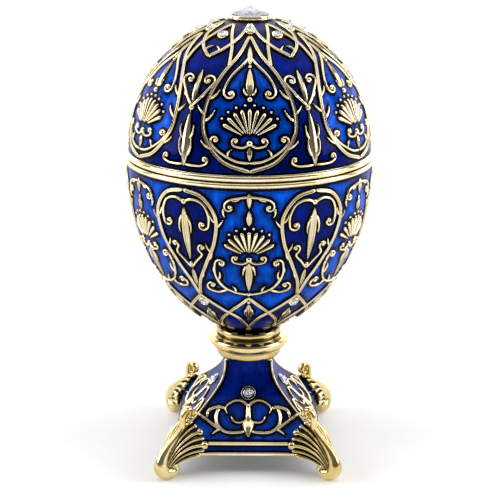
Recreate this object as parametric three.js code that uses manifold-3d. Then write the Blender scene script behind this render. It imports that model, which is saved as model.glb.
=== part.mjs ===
// Jewelled trinket egg on its stand: a gilt, enamelled two-part egg with a lift-off lid,
// on a turned collar, a square flared pedestal and four cast leaf-scroll feet.
// Millimetres, +Z up, origin on the floor under the egg's axis, front face towards -Y.
import * as THREE from "three";
import { mergeVertices } from "three/addons/utils/BufferGeometryUtils.js";
import Module from "manifold-3d";

// Egg: t runs from 0 at the bottom pole to PI at the top, and
// r = EGG_RADIUS sin t (1 + EGG_SKEW cos t + EGG_SWELL cos^2 t), z = EGG_BOTTOM + EGG_LENGTH (1 - cos t) / 2.
const EGG_BOTTOM = 34.5;
const EGG_LENGTH = 83;
const EGG_RADIUS = 31.9;
const EGG_SKEW = -0.0815;
const EGG_SWELL = 0.0216;
const RELIEF = 0.6; // gilt ornament above the enamel
const WALL = 2; // cast wall under the enamel
const GAP = 0.3; // clearance between pieces
const SEAM_Z = 82.1;
const LID_BAND = 1.7; // height of the gold band on each side of the seam
const BOWL_BAND = 1.5;
const BAND_PROUD = 0.7;
const BAND_EDGES = { seam: 0.7, enamel: 0.6 }; // shares of BAND_PROUD at the band's two edges
const LIP_RISE = 2.6; // locating lip of the bowl inside the lid's mouth
const LIP_DEPTH = 3.2;
const LIP_WALL = 1.5;
const BOWL_FOOT_Z = 35.6; // flat underside of the bowl, on the collar
const STONE_RING_RADIUS = 5.35; // collet of the large stone on top
const STONE_RING_WALL = 0.35;
const STONE_RING_DEPTH = 1; // how far the collet goes down into the lid
const STONE_RING_LEAN = 0.25; // its inner wall leans in towards the seat
const RING_ANGLE = Math.PI - 0.152; // where the collet's wall leaves the egg
const STONE_SEAT_Z = 117;
const STONE_RING_TOP = 117.65;
const TOTAL_HEIGHT = 120;

const PANELS = 6; // the ornament repeats six times round the egg, mirrored about each meridian
const COLUMNS = 24; // of the turned shells and the collar
const RING_COLUMNS = 12;
const LID_STEPS = 5; // facets along the meridian
const BOWL_STEPS = 7;
const LID_LINING_STEPS = 4;
const BOWL_LINING_STEPS = 5;
const RIB_DEPTH = 0.7; // how far a rib's foot is sunk in the wall
const LEAF_DEPTH = 0.4;
const LEAF_BELLY = 0.6; // a leaf is widest and highest at this share of its length
const LEAF_CREST = 0.02; // size of its crest as a share of its foot
const SHELL_RIM = 5; // corners along a shell's rim
const SHELL_CREST = 0.7; // size of its flat top as a share of its foot
const SHELL_MIDDLE = 0.4; // the top shrinks towards this share of its length
const OVERCUT = 1; // how far a cutter passes the face that it opens

const NECK_HALF = 6.25; // pedestal: half width of the square neck
const FLARE_SLOPE = 1.04; // half width gained per millimetre of fall
const FLARE_Z = 21.5; // height where the flare begins
const FLARE_SOFTNESS = 1.6;
const SLOPE_STEP = 0.05; // height step that the flare's slope is read over
const NECK_TOP = 27.15;
const PLINTH_TOP = 9.2;
const PLINTH_BOTTOM = 5.3;
const PLINTH_HALF = 18.7;
const LINE = 0.9; // gold lines along the plinth
const LINE_PROUD = 0.35;
const LINE_BEVEL = 0.05;
const FACE_RELIEF = 0.5;
const SIDE_WIDTH = 0.95;
const BUD_WIDTH = 3;
const BUD_RELIEF = 0.8;
const BUD_BELLY = 0.65;

const STONE_RADIUS = 1;
const COLLET_RADIUS = 1.45;
const COLLET_RISE = 0.45;
const STONE_RISE = 0.75;
const STONE_TABLE = 0.6; // table's radius as a share of the stone's
const STONE_GAP = 0.1; // between a stone and its collet
const STONE_SIDES = 6;

const TOE_REACH = 30.1; // foot: distance of the toe's contact from the axis, along the diagonal
const FLOOR_CUT = { radius: 60, depth: 5 };

const HALF_PANEL = Math.PI / PANELS;
const FRONT = -Math.PI / 2;

const wasm = await Module();
wasm.setup();

const gilt = new THREE.MeshStandardMaterial({ color: 0xd9b76c, roughness: 0.22, metalness: 1 });
const enamel = new THREE.MeshStandardMaterial({ color: 0x0a2f9c, roughness: 0.12, metalness: 0.1 });
const crystal = new THREE.MeshStandardMaterial({ color: 0xe9eef6, roughness: 0.03, metalness: 0 });

// Solids

function toSolid(geometry) {
  const bare = geometry.index ? geometry.toNonIndexed() : geometry.clone();
  const open = new THREE.BufferGeometry();
  open.setAttribute("position", bare.getAttribute("position"));
  const merged = mergeVertices(open, 1e-4);
  return new wasm.Manifold(
    new wasm.Mesh({
      numProp: 3,
      vertProperties: merged.attributes.position.array,
      triVerts: new Uint32Array(merged.index.array),
    }),
  );
}

function join(solids) {
  return solids.reduce((sum, next) => sum.add(next));
}

function toMesh(name, solid, material) {
  const { numProp, vertProperties, triVerts } = solid.getMesh();
  const count = vertProperties.length / numProp;
  const positions = new Float32Array(count * 3);
  for (let i = 0; i < count; i++) {
    positions.set(vertProperties.subarray(i * numProp, i * numProp + 3), i * 3);
  }
  const geometry = new THREE.BufferGeometry();
  geometry.setAttribute("position", new THREE.BufferAttribute(positions, 3));
  geometry.setIndex(new THREE.BufferAttribute(new Uint32Array(triVerts), 1));
  geometry.computeVertexNormals();
  const mesh = new THREE.Mesh(geometry, material);
  mesh.name = name;
  return mesh;
}

// A turned solid: the profile is a list of [radius, height] that closes on itself or on the axis.
function turned(profile, columns) {
  const points = profile.map(([r, z]) => new THREE.Vector2(r, z));
  const geometry = new THREE.LatheGeometry(points, columns);
  geometry.rotateX(Math.PI / 2);
  return toSolid(geometry);
}

// A closed solid through rings of points, one after the other, with flat ends.
function loft(rings) {
  const size = rings[0].length;
  const points = rings.flat();
  const faces = [];
  for (let i = 0; i + 1 < rings.length; i++) {
    for (let j = 0; j < size; j++) {
      const a = i * size + j;
      const b = i * size + ((j + 1) % size);
      faces.push([a, b, b + size], [a, b + size, a + size]);
    }
  }
  const last = (rings.length - 1) * size;
  for (let j = 1; j + 1 < size; j++) {
    faces.push([0, j + 1, j], [last, last + j, last + j + 1]);
  }
  const sixfold = faces.map(([a, b, c]) => {
    const cross = points[b].clone().cross(points[c]);
    return points[a].dot(cross);
  });
  const inside = sixfold.reduce((sum, v) => sum + v, 0) < 0;
  const positions = faces.flatMap(([a, b, c]) => {
    const order = inside ? [a, c, b] : [a, b, c];
    return order.flatMap((i) => points[i].toArray());
  });
  const geometry = new THREE.BufferGeometry();
  geometry.setAttribute("position", new THREE.Float32BufferAttribute(positions, 3));
  return toSolid(geometry);
}

// Egg surface

function eggPoint(t, inset) {
  const c = Math.cos(t);
  const s = Math.sin(t);
  const swell = 1 + EGG_SKEW * c + EGG_SWELL * c * c;
  const dr = EGG_RADIUS * (c * swell - s * s * (EGG_SKEW + 2 * EGG_SWELL * c));
  const dz = (EGG_LENGTH * s) / 2;
  const size = Math.hypot(dr, dz);
  const out = size > 1e-6 ? [dz / size, -dr / size] : [0, -Math.sign(c)];
  return {
    r: EGG_RADIUS * s * swell - out[0] * inset,
    z: EGG_BOTTOM + (EGG_LENGTH * (1 - c)) / 2 - out[1] * inset,
    out,
  };
}

// Arc lengths along the enamel's meridian, measured from the seam and positive upwards.
const MERIDIAN = Array.from({ length: 401 }, (_, i) => {
  const t = (Math.PI * i) / 400;
  return { t, arc: 0, ...eggPoint(t, RELIEF) };
});
for (let i = 1; i < MERIDIAN.length; i++) {
  const [a, b] = [MERIDIAN[i - 1], MERIDIAN[i]];
  b.arc = a.arc + Math.hypot(b.r - a.r, b.z - a.z);
}

function between(list, key, value, field) {
  const i = Math.max(1, list.findIndex((p) => p[key] >= value));
  const [a, b] = [list[i - 1], list[i]];
  return a[field] + ((b[field] - a[field]) * (value - a[key])) / (b[key] - a[key]);
}

const SEAM_ARC = between(MERIDIAN, "z", SEAM_Z, "arc");
const angleAt = (arc) => between(MERIDIAN, "arc", SEAM_ARC + arc, "t");
const angleAtHeight = (z) => between(MERIDIAN, "z", z, "t");

// The lid's mouth is cylindrical up to just above the bowl's lip.
const MOUTH_TOP = SEAM_Z + LIP_RISE + GAP;
const MOUTH_RADIUS = eggPoint(angleAtHeight(MOUTH_TOP), RELIEF + WALL).r;

// A place on the enamel: a panel's meridian, a share of the half panel, an arc from the seam,
// and offsets in millimetres across and along.
function onEgg(meridian, [share, arc, dx = 0, dy = 0]) {
  const t = angleAt(arc + dy);
  const { r, z, out } = eggPoint(t, RELIEF);
  const turn = meridian + share * HALF_PANEL + dx / r;
  const normal = new THREE.Vector3(out[0] * Math.cos(turn), out[0] * Math.sin(turn), out[1]);
  return { point: new THREE.Vector3(r * Math.cos(turn), r * Math.sin(turn), z), normal };
}

// Ribs and leaves on any surface: place(uv) gives a point and the outward normal there.

function sample(points, step) {
  const vectors = points.map((p) => new THREE.Vector3(p[0], p[1], 0));
  const curve = new THREE.CatmullRomCurve3(vectors, false, "centripetal");
  return curve.getPoints(step).map((p) => [p.x, p.y]);
}

// A ridge along a path, `width` wide where it leaves the surface.
function rib(place, path, width, relief) {
  const spots = path.map((uv) => place(uv));
  const half = (width * (relief + RIB_DEPTH)) / relief / 2;
  const rings = spots.map(({ point, normal }, i) => {
    const before = spots[Math.max(i - 1, 0)].point;
    const after = spots[Math.min(i + 1, spots.length - 1)].point;
    const across = normal.clone().cross(after.clone().sub(before)).normalize();
    const foot = point.clone().addScaledVector(normal, -RIB_DEPTH);
    return [
      foot.clone().addScaledVector(across, -half),
      foot.clone().addScaledVector(across, half),
      point.clone().addScaledVector(normal, relief),
    ];
  });
  return loft(rings);
}

// A leaf from root to tip: a long low pyramid on four corners, highest at the share `belly` of its length.
function leaf(place, root, tip, width, relief, belly = LEAF_BELLY) {
  const middle = root.map((v, i) => v + (tip[i] - v) * belly);
  const [a, m, b] = [place(root), place(middle), place(tip)];
  const across = m.normal.clone().cross(b.point.clone().sub(a.point)).normalize();
  const half = (width * (relief + LEAF_DEPTH)) / relief / 2;
  const sunk = ({ point, normal }) => point.clone().addScaledVector(normal, -LEAF_DEPTH);
  const foot = [
    sunk(a),
    sunk(m).addScaledVector(across, half),
    sunk(b),
    sunk(m).addScaledVector(across, -half),
  ];
  const peak = m.point.clone().addScaledVector(m.normal, relief);
  const crest = foot.map((corner) => peak.clone().lerp(corner, LEAF_CREST));
  return loft([foot, crest]);
}

// A ring of corners round a surface's normal, `lift` above the surface.
function cornersOver({ point, normal }, radius, lift, sides) {
  const turn = new THREE.Quaternion().setFromUnitVectors(new THREE.Vector3(0, 0, 1), normal);
  return Array.from({ length: sides }, (_, i) => {
    const a = (2 * Math.PI * i) / sides;
    const local = new THREE.Vector3(radius * Math.cos(a), radius * Math.sin(a), lift);
    return local.applyQuaternion(turn).add(point);
  });
}

// The low collet of a small stone.
function collet(spot) {
  return loft([
    cornersOver(spot, COLLET_RADIUS, -RIB_DEPTH, STONE_SIDES),
    cornersOver(spot, COLLET_RADIUS, COLLET_RISE, STONE_SIDES),
  ]);
}

// A small flat-backed stone standing on its collet.
function smallStone(spot) {
  const start = COLLET_RISE + STONE_GAP;
  return loft([
    cornersOver(spot, STONE_RADIUS, start, STONE_SIDES),
    cornersOver(spot, STONE_RADIUS * STONE_TABLE, start + STONE_RISE, STONE_SIDES),
  ]);
}

// Egg ornament: [share of the half panel, arc from the seam]. Each path is mirrored about its meridian.

const LID_PATHS = [
  { path: [[0, 2.6], [0.4, 5], [0.7, 11], [0.73, 17.5], [0.56, 25], [0.26, 31.5], [0, 38.2]], steps: 5 },
  { path: [[1, 30.5], [0.62, 34], [0.3, 38.6], [0, 44.6]], steps: 2 },
];
const BOWL_PATHS = [
  {
    path: [[1, -2.6], [0.7, -3.9], [0.5, -8.6], [0.53, -15], [0.72, -22], [0.9, -27.6], [1, -32.6]],
    steps: 5,
  },
  { path: [[1, -32.6], [0.62, -37.2], [0.28, -41], [0, -47]], steps: 2 },
];
const MAIN_WIDTH = 1.15;

// Shells: the root, the length of the ribs and the spread to each side of the meridian.
const LID_SHELL = { root: [0, 10.2], length: 7.6, spread: (62 * Math.PI) / 180 };
const BOWL_SHELL = { root: [0, -19], length: 7.2, spread: (62 * Math.PI) / 180 };
const LID_LEAVES = [
  { root: [0, 20.4], tip: [0, 27.6], width: 2.4 },
  { root: [1, 3], tip: [1, 16], width: 2.6 },
];
const BOWL_LEAVES = [
  { root: [0, -21], tip: [0, -30], width: 2.4 },
  { root: [1, -7], tip: [1, -21], width: 2.6 },
];
const LID_STONES = [[0, 40.6], [1, 38.4]];
const BOWL_STONES = [[1, -35.2]];

function mirrored(place, { path, steps }) {
  const spots = sample(path, steps);
  const flip = spots.map(([share, arc]) => [-share, arc]);
  return [spots, flip].map((run) => rib(place, run, MAIN_WIDTH, RELIEF));
}

// A low flat-topped plate in the outline of a shell.
function shell(meridian, { root, length, spread }) {
  const rim = Array.from({ length: SHELL_RIM }, (_, i) => {
    const a = spread * (1 - (2 * i) / (SHELL_RIM - 1));
    return [length * Math.sin(a), length * Math.cos(a)];
  });
  const corners = [[0, 0], ...rim];
  const middle = length * SHELL_MIDDLE;
  const crest = corners.map(([dx, dy]) => [dx * SHELL_CREST, middle + (dy - middle) * SHELL_CREST]);
  const lifted = (spots, lift) =>
    spots.map((spot) => {
      const { point, normal } = onEgg(meridian, [...root, ...spot]);
      return point.addScaledVector(normal, lift);
    });
  return loft([lifted(corners, -LEAF_DEPTH), lifted(crest, RELIEF)]);
}

function eggOrnament(paths, plate, leaves) {
  const pieces = [];
  for (let k = 0; k < PANELS; k++) {
    const meridian = FRONT + 2 * HALF_PANEL * k;
    const place = (uv) => onEgg(meridian, uv);
    pieces.push(...paths.flatMap((p) => mirrored(place, p)));
    pieces.push(shell(meridian, plate));
    pieces.push(...leaves.map(({ root, tip, width }) => leaf(place, root, tip, width, RELIEF)));
  }
  return pieces;
}

function curve(from, to, inset, steps) {
  return Array.from({ length: steps + 1 }, (_, i) => {
    const { r, z } = eggPoint(from + ((to - from) * i) / steps, inset);
    return [r, z];
  });
}

function makeLid() {
  const bottom = SEAM_Z + GAP / 2;
  const bandTop = bottom + LID_BAND;
  const start = angleAtHeight(bandTop);
  const mouth = eggPoint(start, RELIEF).r;
  const outer = turned(
    [
      [0, bottom],
      [mouth + BAND_PROUD * BAND_EDGES.seam, bottom],
      [mouth + BAND_PROUD, bottom + LID_BAND / 2],
      [mouth + BAND_PROUD * BAND_EDGES.enamel, bandTop],
      ...curve(start, RING_ANGLE, RELIEF, LID_STEPS),
      [0, STONE_SEAT_Z - STONE_RING_WALL],
    ],
    COLUMNS,
  );
  const ring = turned(
    [
      [0, STONE_SEAT_Z - STONE_RING_DEPTH],
      [STONE_RING_RADIUS, STONE_SEAT_Z - STONE_RING_DEPTH],
      [STONE_RING_RADIUS, STONE_RING_TOP],
      [STONE_RING_RADIUS - STONE_RING_WALL, STONE_RING_TOP],
      [STONE_RING_RADIUS - STONE_RING_WALL - STONE_RING_LEAN, STONE_SEAT_Z],
      [0, STONE_SEAT_Z],
    ],
    RING_COLUMNS,
  );
  const lining = curve(angleAtHeight(MOUTH_TOP), Math.PI, RELIEF + WALL, LID_LINING_STEPS);
  lining[lining.length - 1][0] = 0;
  const below = bottom - OVERCUT;
  const hollow = turned([[0, below], [MOUTH_RADIUS, below], ...lining], COLUMNS);
  const ornament = eggOrnament(LID_PATHS, LID_SHELL, LID_LEAVES);
  return join([outer, ring, ...ornament]).subtract(hollow);
}

function makeBowl() {
  const top = SEAM_Z - GAP / 2;
  const bandBottom = top - BOWL_BAND;
  const end = angleAtHeight(bandBottom);
  const mouth = eggPoint(end, RELIEF).r;
  const lipOuter = MOUTH_RADIUS - GAP;
  const lipInner = lipOuter - LIP_WALL;
  const outer = turned(
    [
      [0, BOWL_FOOT_Z],
      ...curve(angleAtHeight(BOWL_FOOT_Z), end, RELIEF, BOWL_STEPS),
      [mouth + BAND_PROUD * BAND_EDGES.enamel, bandBottom],
      [mouth + BAND_PROUD, top - BOWL_BAND / 2],
      [mouth + BAND_PROUD * BAND_EDGES.seam, top],
      [lipOuter, top],
      [lipOuter, top + LIP_RISE],
      [0, top + LIP_RISE],
    ],
    COLUMNS,
  );
  const lining = curve(0, angleAtHeight(top - LIP_DEPTH - LIP_WALL), RELIEF + WALL, BOWL_LINING_STEPS);
  lining[0][0] = 0;
  const above = top + LIP_RISE + OVERCUT;
  const hollow = turned([...lining, [lipInner, top - LIP_DEPTH], [lipInner, above], [0, above]], COLUMNS);
  const ornament = eggOrnament(BOWL_PATHS, BOWL_SHELL, BOWL_LEAVES);
  return join([outer, ...ornament]).subtract(hollow);
}

// Stones

const GIRDLE = STONE_RING_RADIUS - STONE_RING_WALL;
// Rings of the large stone, upwards: [radius, height, twist in steps].
const TOP_STONE_RINGS = [
  [GIRDLE - 0.5, 117.15, 0],
  [GIRDLE, 117.8, 0],
  [GIRDLE, 118.15, 0],
  [GIRDLE * 0.7, 119.3, 0.5],
  [GIRDLE * 0.38, TOTAL_HEIGHT, 0],
];

function makeTopStone() {
  const rings = TOP_STONE_RINGS.map(([radius, z, twist]) =>
    Array.from({ length: RING_COLUMNS }, (_, i) => {
      const a = (2 * Math.PI * (i + twist)) / RING_COLUMNS;
      return new THREE.Vector3(radius * Math.cos(a), radius * Math.sin(a), z);
    }),
  );
  return loft(rings);
}

// Collar

const COLLAR_PROFILE = [
  [0, 27.45],
  [8.2, 27.45],
  [8.65, 28.1],
  [8.9, 29.2],
  [10.4, 30.6],
  [10.73, 31.9],
  [10, 32.9],
  [8.1, 33.4],
  [8.75, 34.4],
  [8.1, 35.5],
  [5.6, 35.3],
  [0, 35.3],
];

// Pedestal: the half width of its square section falls away from the neck along a softened straight flare.

function halfWidth(z) {
  const rise = (FLARE_Z - z) / FLARE_SOFTNESS;
  return NECK_HALF + FLARE_SLOPE * FLARE_SOFTNESS * Math.log1p(Math.exp(rise));
}

const FLARE_HEIGHTS = [NECK_TOP, 24, 21.5, 19.5, 16.5, PLINTH_TOP + LINE_BEVEL];

function squareRing(half, z) {
  return [[-1, -1], [1, -1], [1, 1], [-1, 1]].map(([x, y]) => new THREE.Vector3(x * half, y * half, z));
}

// A place on the side that faces `turn`: across in x and up in z.
function onSide(turn, [x, z]) {
  const slope = (halfWidth(z - SLOPE_STEP) - halfWidth(z + SLOPE_STEP)) / (2 * SLOPE_STEP);
  const normal = new THREE.Vector3(0, -1, slope).normalize();
  const point = new THREE.Vector3(x, -halfWidth(z), z);
  const axis = new THREE.Vector3(0, 0, 1);
  return { point: point.applyAxisAngle(axis, turn), normal: normal.applyAxisAngle(axis, turn) };
}

// Scrollwork of one side, left half: [across, up].
const SIDE_PATHS = [
  { path: [[0, 16], [-1.3, 17.1], [-3.4, 17.4], [-5.7, 16.2], [-5.4, 14.8]], steps: 3 },
  { path: [[-1, 11.3], [-3.6, 11], [-6.6, 11.5], [-8.4, 13.2], [-8.3, 15], [-7.4, 16]], steps: 3 },
  { path: [[-12.6, 14.4], [-7.7, 11.9]], steps: 1 },
  { path: [[-10.9, 14.7], [-9.2, 15.9], [-6.3, 15.9]], steps: 2 },
];
const SIDE_BUD = { root: [0, 16.6], tip: [0, 10.3] };
const SIDE_STONE = [0, 18.9];

// The pedestal without its scrollwork, with a recessed band between the plinth's two lines.
function pedestalBody() {
  const line = PLINTH_HALF + LINE_PROUD;
  return loft([
    ...FLARE_HEIGHTS.map((z) => squareRing(halfWidth(z), z)),
    squareRing(line, PLINTH_TOP),
    squareRing(line, PLINTH_TOP - LINE),
    squareRing(PLINTH_HALF, PLINTH_TOP - LINE - LINE_BEVEL),
    squareRing(PLINTH_HALF, PLINTH_BOTTOM + LINE + LINE_BEVEL),
    squareRing(line, PLINTH_BOTTOM + LINE),
    squareRing(line, PLINTH_BOTTOM),
  ]);
}

// The space that the feet keep clear of: the pedestal grown by the gap, and all below the floor.
function footTrim() {
  const line = PLINTH_HALF + LINE_PROUD + GAP;
  const grown = loft([
    ...FLARE_HEIGHTS.map((z) => squareRing(halfWidth(z) + GAP, z)),
    squareRing(line, PLINTH_TOP + GAP / 2),
    squareRing(line, PLINTH_BOTTOM - GAP),
  ]);
  const { radius, depth } = FLOOR_CUT;
  return grown.add(turned([[0, -depth], [radius, -depth], [radius, 0], [0, 0]], RING_COLUMNS));
}

function makePedestal() {
  const pieces = [pedestalBody()];
  for (let side = 0; side < 4; side++) {
    const turn = (Math.PI / 2) * side;
    for (const hand of [1, -1]) {
      const place = ([x, z]) => onSide(turn, [hand * x, z]);
      for (const { path, steps } of SIDE_PATHS) {
        pieces.push(rib(place, sample(path, steps), SIDE_WIDTH, FACE_RELIEF));
      }
    }
    const middle = (uv) => onSide(turn, uv);
    pieces.push(leaf(middle, SIDE_BUD.root, SIDE_BUD.tip, BUD_WIDTH, BUD_RELIEF, BUD_BELLY));
    pieces.push(collet(middle(SIDE_STONE)));
  }
  return join(pieces);
}

// Foot: a leaf scroll in the diagonal plane: [distance from the axis, height, half width, half depth].

const SPINE = [
  [22.5, 16.5, 1.1, 0.9],
  [21.9, 15.3, 1.1, 1],
  [22.6, 13.2, 1.2, 1.2],
  [25.6, 11, 1.3, 1.3],
  [29.2, 8.5, 1.6, 1.5],
  [31.8, 5.4, 2.1, 1.8],
  [31.6, 2.6, 2.4, 2],
  [TOE_REACH, 1.7, 2.2, 2],
];
const CURL = { reach: TOE_REACH - 1.1, z: 1.95, radius: 2.2, half: 2.5, sides: 8 };
const SPINE_SIDES = 6;
// Leaf lobes beside the spine, [along the side, away from the axis, up] for the side they lie on.
const LOBE_ROOT = [20.6, 22.8, 4.4];
const LOBES = [
  { tip: [13.4, 18.6, 12.2], width: 4.4 },
  { tip: [11.7, 20.1, 9], width: 4.2 },
  { tip: [13.2, 20.1, 6.2], width: 4 },
];
const LOBE_BELLY = 0.62;
const LOBE_RISE = 1.1;
const LOBE_CREST = 0.05;
const LOBE_FACING = [0, 1, 0.3];

function makeFoot(corner, trim) {
  const out = new THREE.Vector3(Math.cos(corner), Math.sin(corner), 0);
  const side = new THREE.Vector3(-Math.sin(corner), Math.cos(corner), 0);
  const at = (reach, z) => out.clone().multiplyScalar(reach).setZ(z);
  const rings = SPINE.map(([reach, z, wide, deep], i) => {
    const a = SPINE[Math.max(i - 1, 0)];
    const b = SPINE[Math.min(i + 1, SPINE.length - 1)];
    const along = at(b[0] - a[0], b[1] - a[1]).normalize();
    const across = side.clone().cross(along).normalize();
    return Array.from({ length: SPINE_SIDES }, (_, j) => {
      const angle = (2 * Math.PI * j) / SPINE_SIDES;
      return at(reach, z)
        .addScaledVector(side, wide * Math.cos(angle))
        .addScaledVector(across, deep * Math.sin(angle));
    });
  });
  const curl = [CURL.half, -CURL.half].map((offset) =>
    Array.from({ length: CURL.sides }, (_, j) => {
      const angle = (2 * Math.PI * (j + 0.5)) / CURL.sides;
      const centre = at(CURL.reach + CURL.radius * Math.cos(angle), CURL.z + CURL.radius * Math.sin(angle));
      return centre.addScaledVector(side, offset);
    }),
  );
  const lobes = [1, -1].flatMap((hand) => LOBES.map((shape) => makeLobe(shape, corner, hand)));
  return join([loft(rings), loft(curl), ...lobes]).subtract(trim);
}

// A lobe: a pyramid on four corners from the toe to its tip, on one hand of the corner.
function makeLobe({ tip, width }, corner, hand) {
  const world = ([along, away, up]) => {
    const reach = (along + away) / Math.SQRT2;
    const off = (hand * (away - along)) / Math.SQRT2;
    const [c, s] = [Math.cos(corner), Math.sin(corner)];
    return new THREE.Vector3(reach * c - off * s, reach * s + off * c, up);
  };
  const outward = world(LOBE_FACING).normalize();
  const [root, end] = [world(LOBE_ROOT), world(tip)];
  const middle = root.clone().lerp(end, LOBE_BELLY);
  const across = outward.clone().cross(end.clone().sub(root)).normalize();
  const foot = [
    root.clone().addScaledVector(outward, -LOBE_RISE),
    middle.clone().addScaledVector(across, width / 2).addScaledVector(outward, -LOBE_RISE),
    end.clone().addScaledVector(outward, -LOBE_RISE / 2),
    middle.clone().addScaledVector(across, -width / 2).addScaledVector(outward, -LOBE_RISE),
  ];
  const peak = middle.clone().addScaledVector(outward, LOBE_RISE);
  return loft([foot, foot.map((point) => peak.clone().lerp(point, LOBE_CREST))]);
}

// Assembly

const egg = new THREE.Group();

egg.add(toMesh("lid", makeLid(), enamel));
egg.add(toMesh("bowl", makeBowl(), enamel));
egg.add(toMesh("top_stone", makeTopStone(), crystal));
egg.add(toMesh("collar", turned(COLLAR_PROFILE, COLUMNS), gilt));
egg.add(toMesh("pedestal", makePedestal(), enamel));
const trim = footTrim();
["front_left", "front_right", "back_right", "back_left"].forEach((name, i) => {
  const corner = (-3 * Math.PI) / 4 + (Math.PI / 2) * i;
  egg.add(toMesh("foot_" + name, makeFoot(corner, trim), gilt));
});
["front", "right", "back", "left"].forEach((name, i) => {
  egg.add(toMesh("pedestal_stone_" + name, smallStone(onSide((Math.PI / 2) * i, SIDE_STONE)), crystal));
});
for (const [name, places] of [["lid", LID_STONES], ["bowl", BOWL_STONES]]) {
  for (let k = 0; k < PANELS; k++) {
    places.forEach((spot, j) => {
      const meridian = FRONT + 2 * HALF_PANEL * k;
      const number = k * places.length + j + 1;
      egg.add(toMesh(name + "_stone_" + number, smallStone(onEgg(meridian, spot)), crystal));
    });
  }
}

export default egg;
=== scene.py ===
import math

import bpy
import numpy as np
from mathutils import Matrix


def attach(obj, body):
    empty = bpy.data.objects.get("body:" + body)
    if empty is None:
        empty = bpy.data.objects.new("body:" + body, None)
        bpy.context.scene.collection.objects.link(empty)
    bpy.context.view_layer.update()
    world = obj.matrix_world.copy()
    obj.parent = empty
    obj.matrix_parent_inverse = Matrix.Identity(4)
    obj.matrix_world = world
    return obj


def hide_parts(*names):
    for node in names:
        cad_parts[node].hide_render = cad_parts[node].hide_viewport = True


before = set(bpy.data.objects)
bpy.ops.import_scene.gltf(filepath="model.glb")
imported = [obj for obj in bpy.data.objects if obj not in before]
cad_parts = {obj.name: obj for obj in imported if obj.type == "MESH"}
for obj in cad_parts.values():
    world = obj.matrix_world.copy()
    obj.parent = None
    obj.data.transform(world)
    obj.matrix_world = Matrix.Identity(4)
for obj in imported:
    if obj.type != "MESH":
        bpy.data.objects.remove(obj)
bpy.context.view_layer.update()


# Studio
# A plain white table in front of a lit white backdrop, lit softly from both sides and from above.
# The dim room in front gives the polished metal its dark reflections. Sizes here are in metres.
MM = 0.001
CAMERA_AT = (0, -0.3176, 0.1541)
CAMERA_PITCH, CAMERA_ROLL = 0.2997, 0.0051
CAMERA_LENS, CAMERA_SHIFT = 90.42, 0.0019

camera_data = bpy.data.cameras.new("camera")
camera_data.sensor_width = 36
camera_data.lens = CAMERA_LENS
camera_data.shift_x = CAMERA_SHIFT
camera_data.clip_start = 0.01
camera = bpy.data.objects.new("camera", camera_data)
camera.matrix_world = (
    Matrix.Translation(CAMERA_AT)
    @ Matrix.Rotation(math.pi / 2 - CAMERA_PITCH, 4, "X")
    @ Matrix.Rotation(CAMERA_ROLL, 4, "Z")
)
bpy.context.scene.collection.objects.link(camera)
bpy.context.scene.camera = camera


def linear(colour):
    """An sRGB hex colour as linear RGBA: c / 12.92 up to 0.04045, ((c + 0.055) / 1.055) ^ 2.4 above."""
    parts = [int(colour[i : i + 2], 16) / 255 for i in (1, 3, 5)]
    return (*(c / 12.92 if c <= 0.04045 else ((c + 0.055) / 1.055) ** 2.4 for c in parts), 1)


def grey(value):
    """A linear grey as RGBA."""
    return (value, value, value, 1)


def every(mm):
    """The scale of a pattern whose parts lie this many mm apart, on coordinates in metres."""
    return 1 / (mm * MM)


def add(tree, kind, inputs=None, **settings):
    """Adds one node: settings are its properties (stops are a ramp's), inputs its sockets, each with a value
    or with the output that is linked to it."""
    node = tree.nodes.new(kind)
    for name, value in settings.items():
        if name == "stops":
            while len(node.color_ramp.elements) < len(value):
                node.color_ramp.elements.new(1)
            for stop, (position, colour) in zip(node.color_ramp.elements, value):
                stop.position, stop.color = position, colour
        else:
            setattr(node, name, value)
    for socket, value in (inputs or {}).items():
        if isinstance(value, bpy.types.NodeSocket):
            tree.links.new(value, node.inputs[socket])
        else:
            node.inputs[socket].default_value = value
    return node


def new_material(name):
    """An empty node material: returns it with its tree and its shader, wired to the output."""
    material = bpy.data.materials.new(name)
    material.use_nodes = True
    tree = material.node_tree
    tree.nodes.clear()
    shader = add(tree, "ShaderNodeBsdfPrincipled")
    add(tree, "ShaderNodeOutputMaterial", {"Surface": shader.outputs["BSDF"]})
    return material, tree, shader


# White laminate: smooth, matt, with a mottle 33 mm apart, too soft to draw the eye. It glows a little, and
# more so away from the egg, so that it meets the backdrop without a line.
table_white, tree, shader = new_material("white laminate")
place = add(tree, "ShaderNodeTexCoord")
mottle = add(
    tree, "ShaderNodeTexNoise", {"Vector": place.outputs["Object"], "Scale": every(33.33), "Detail": 2.0}
)
tint = add(
    tree,
    "ShaderNodeValToRGB",
    {"Fac": mottle.outputs["Fac"]},
    stops=[(0.3, grey(0.93)), (0.7, grey(0.95))],
)
tree.links.new(tint.outputs["Color"], shader.inputs["Base Color"])
shader.inputs["Roughness"].default_value = 0.9
shader.inputs["Specular IOR Level"].default_value = 0.1
shader.inputs["Emission Color"].default_value = (1, 1, 1, 1)
away = add(tree, "ShaderNodeVectorMath", {0: place.outputs["Object"]}, operation="LENGTH")
glow = add(
    tree,
    "ShaderNodeMapRange",
    {"Value": away.outputs["Value"], "From Min": 0.1, "From Max": 0.4, "To Min": 0.13, "To Max": 0.75},
)
tree.links.new(glow.outputs["Result"], shader.inputs["Emission Strength"])

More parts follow.
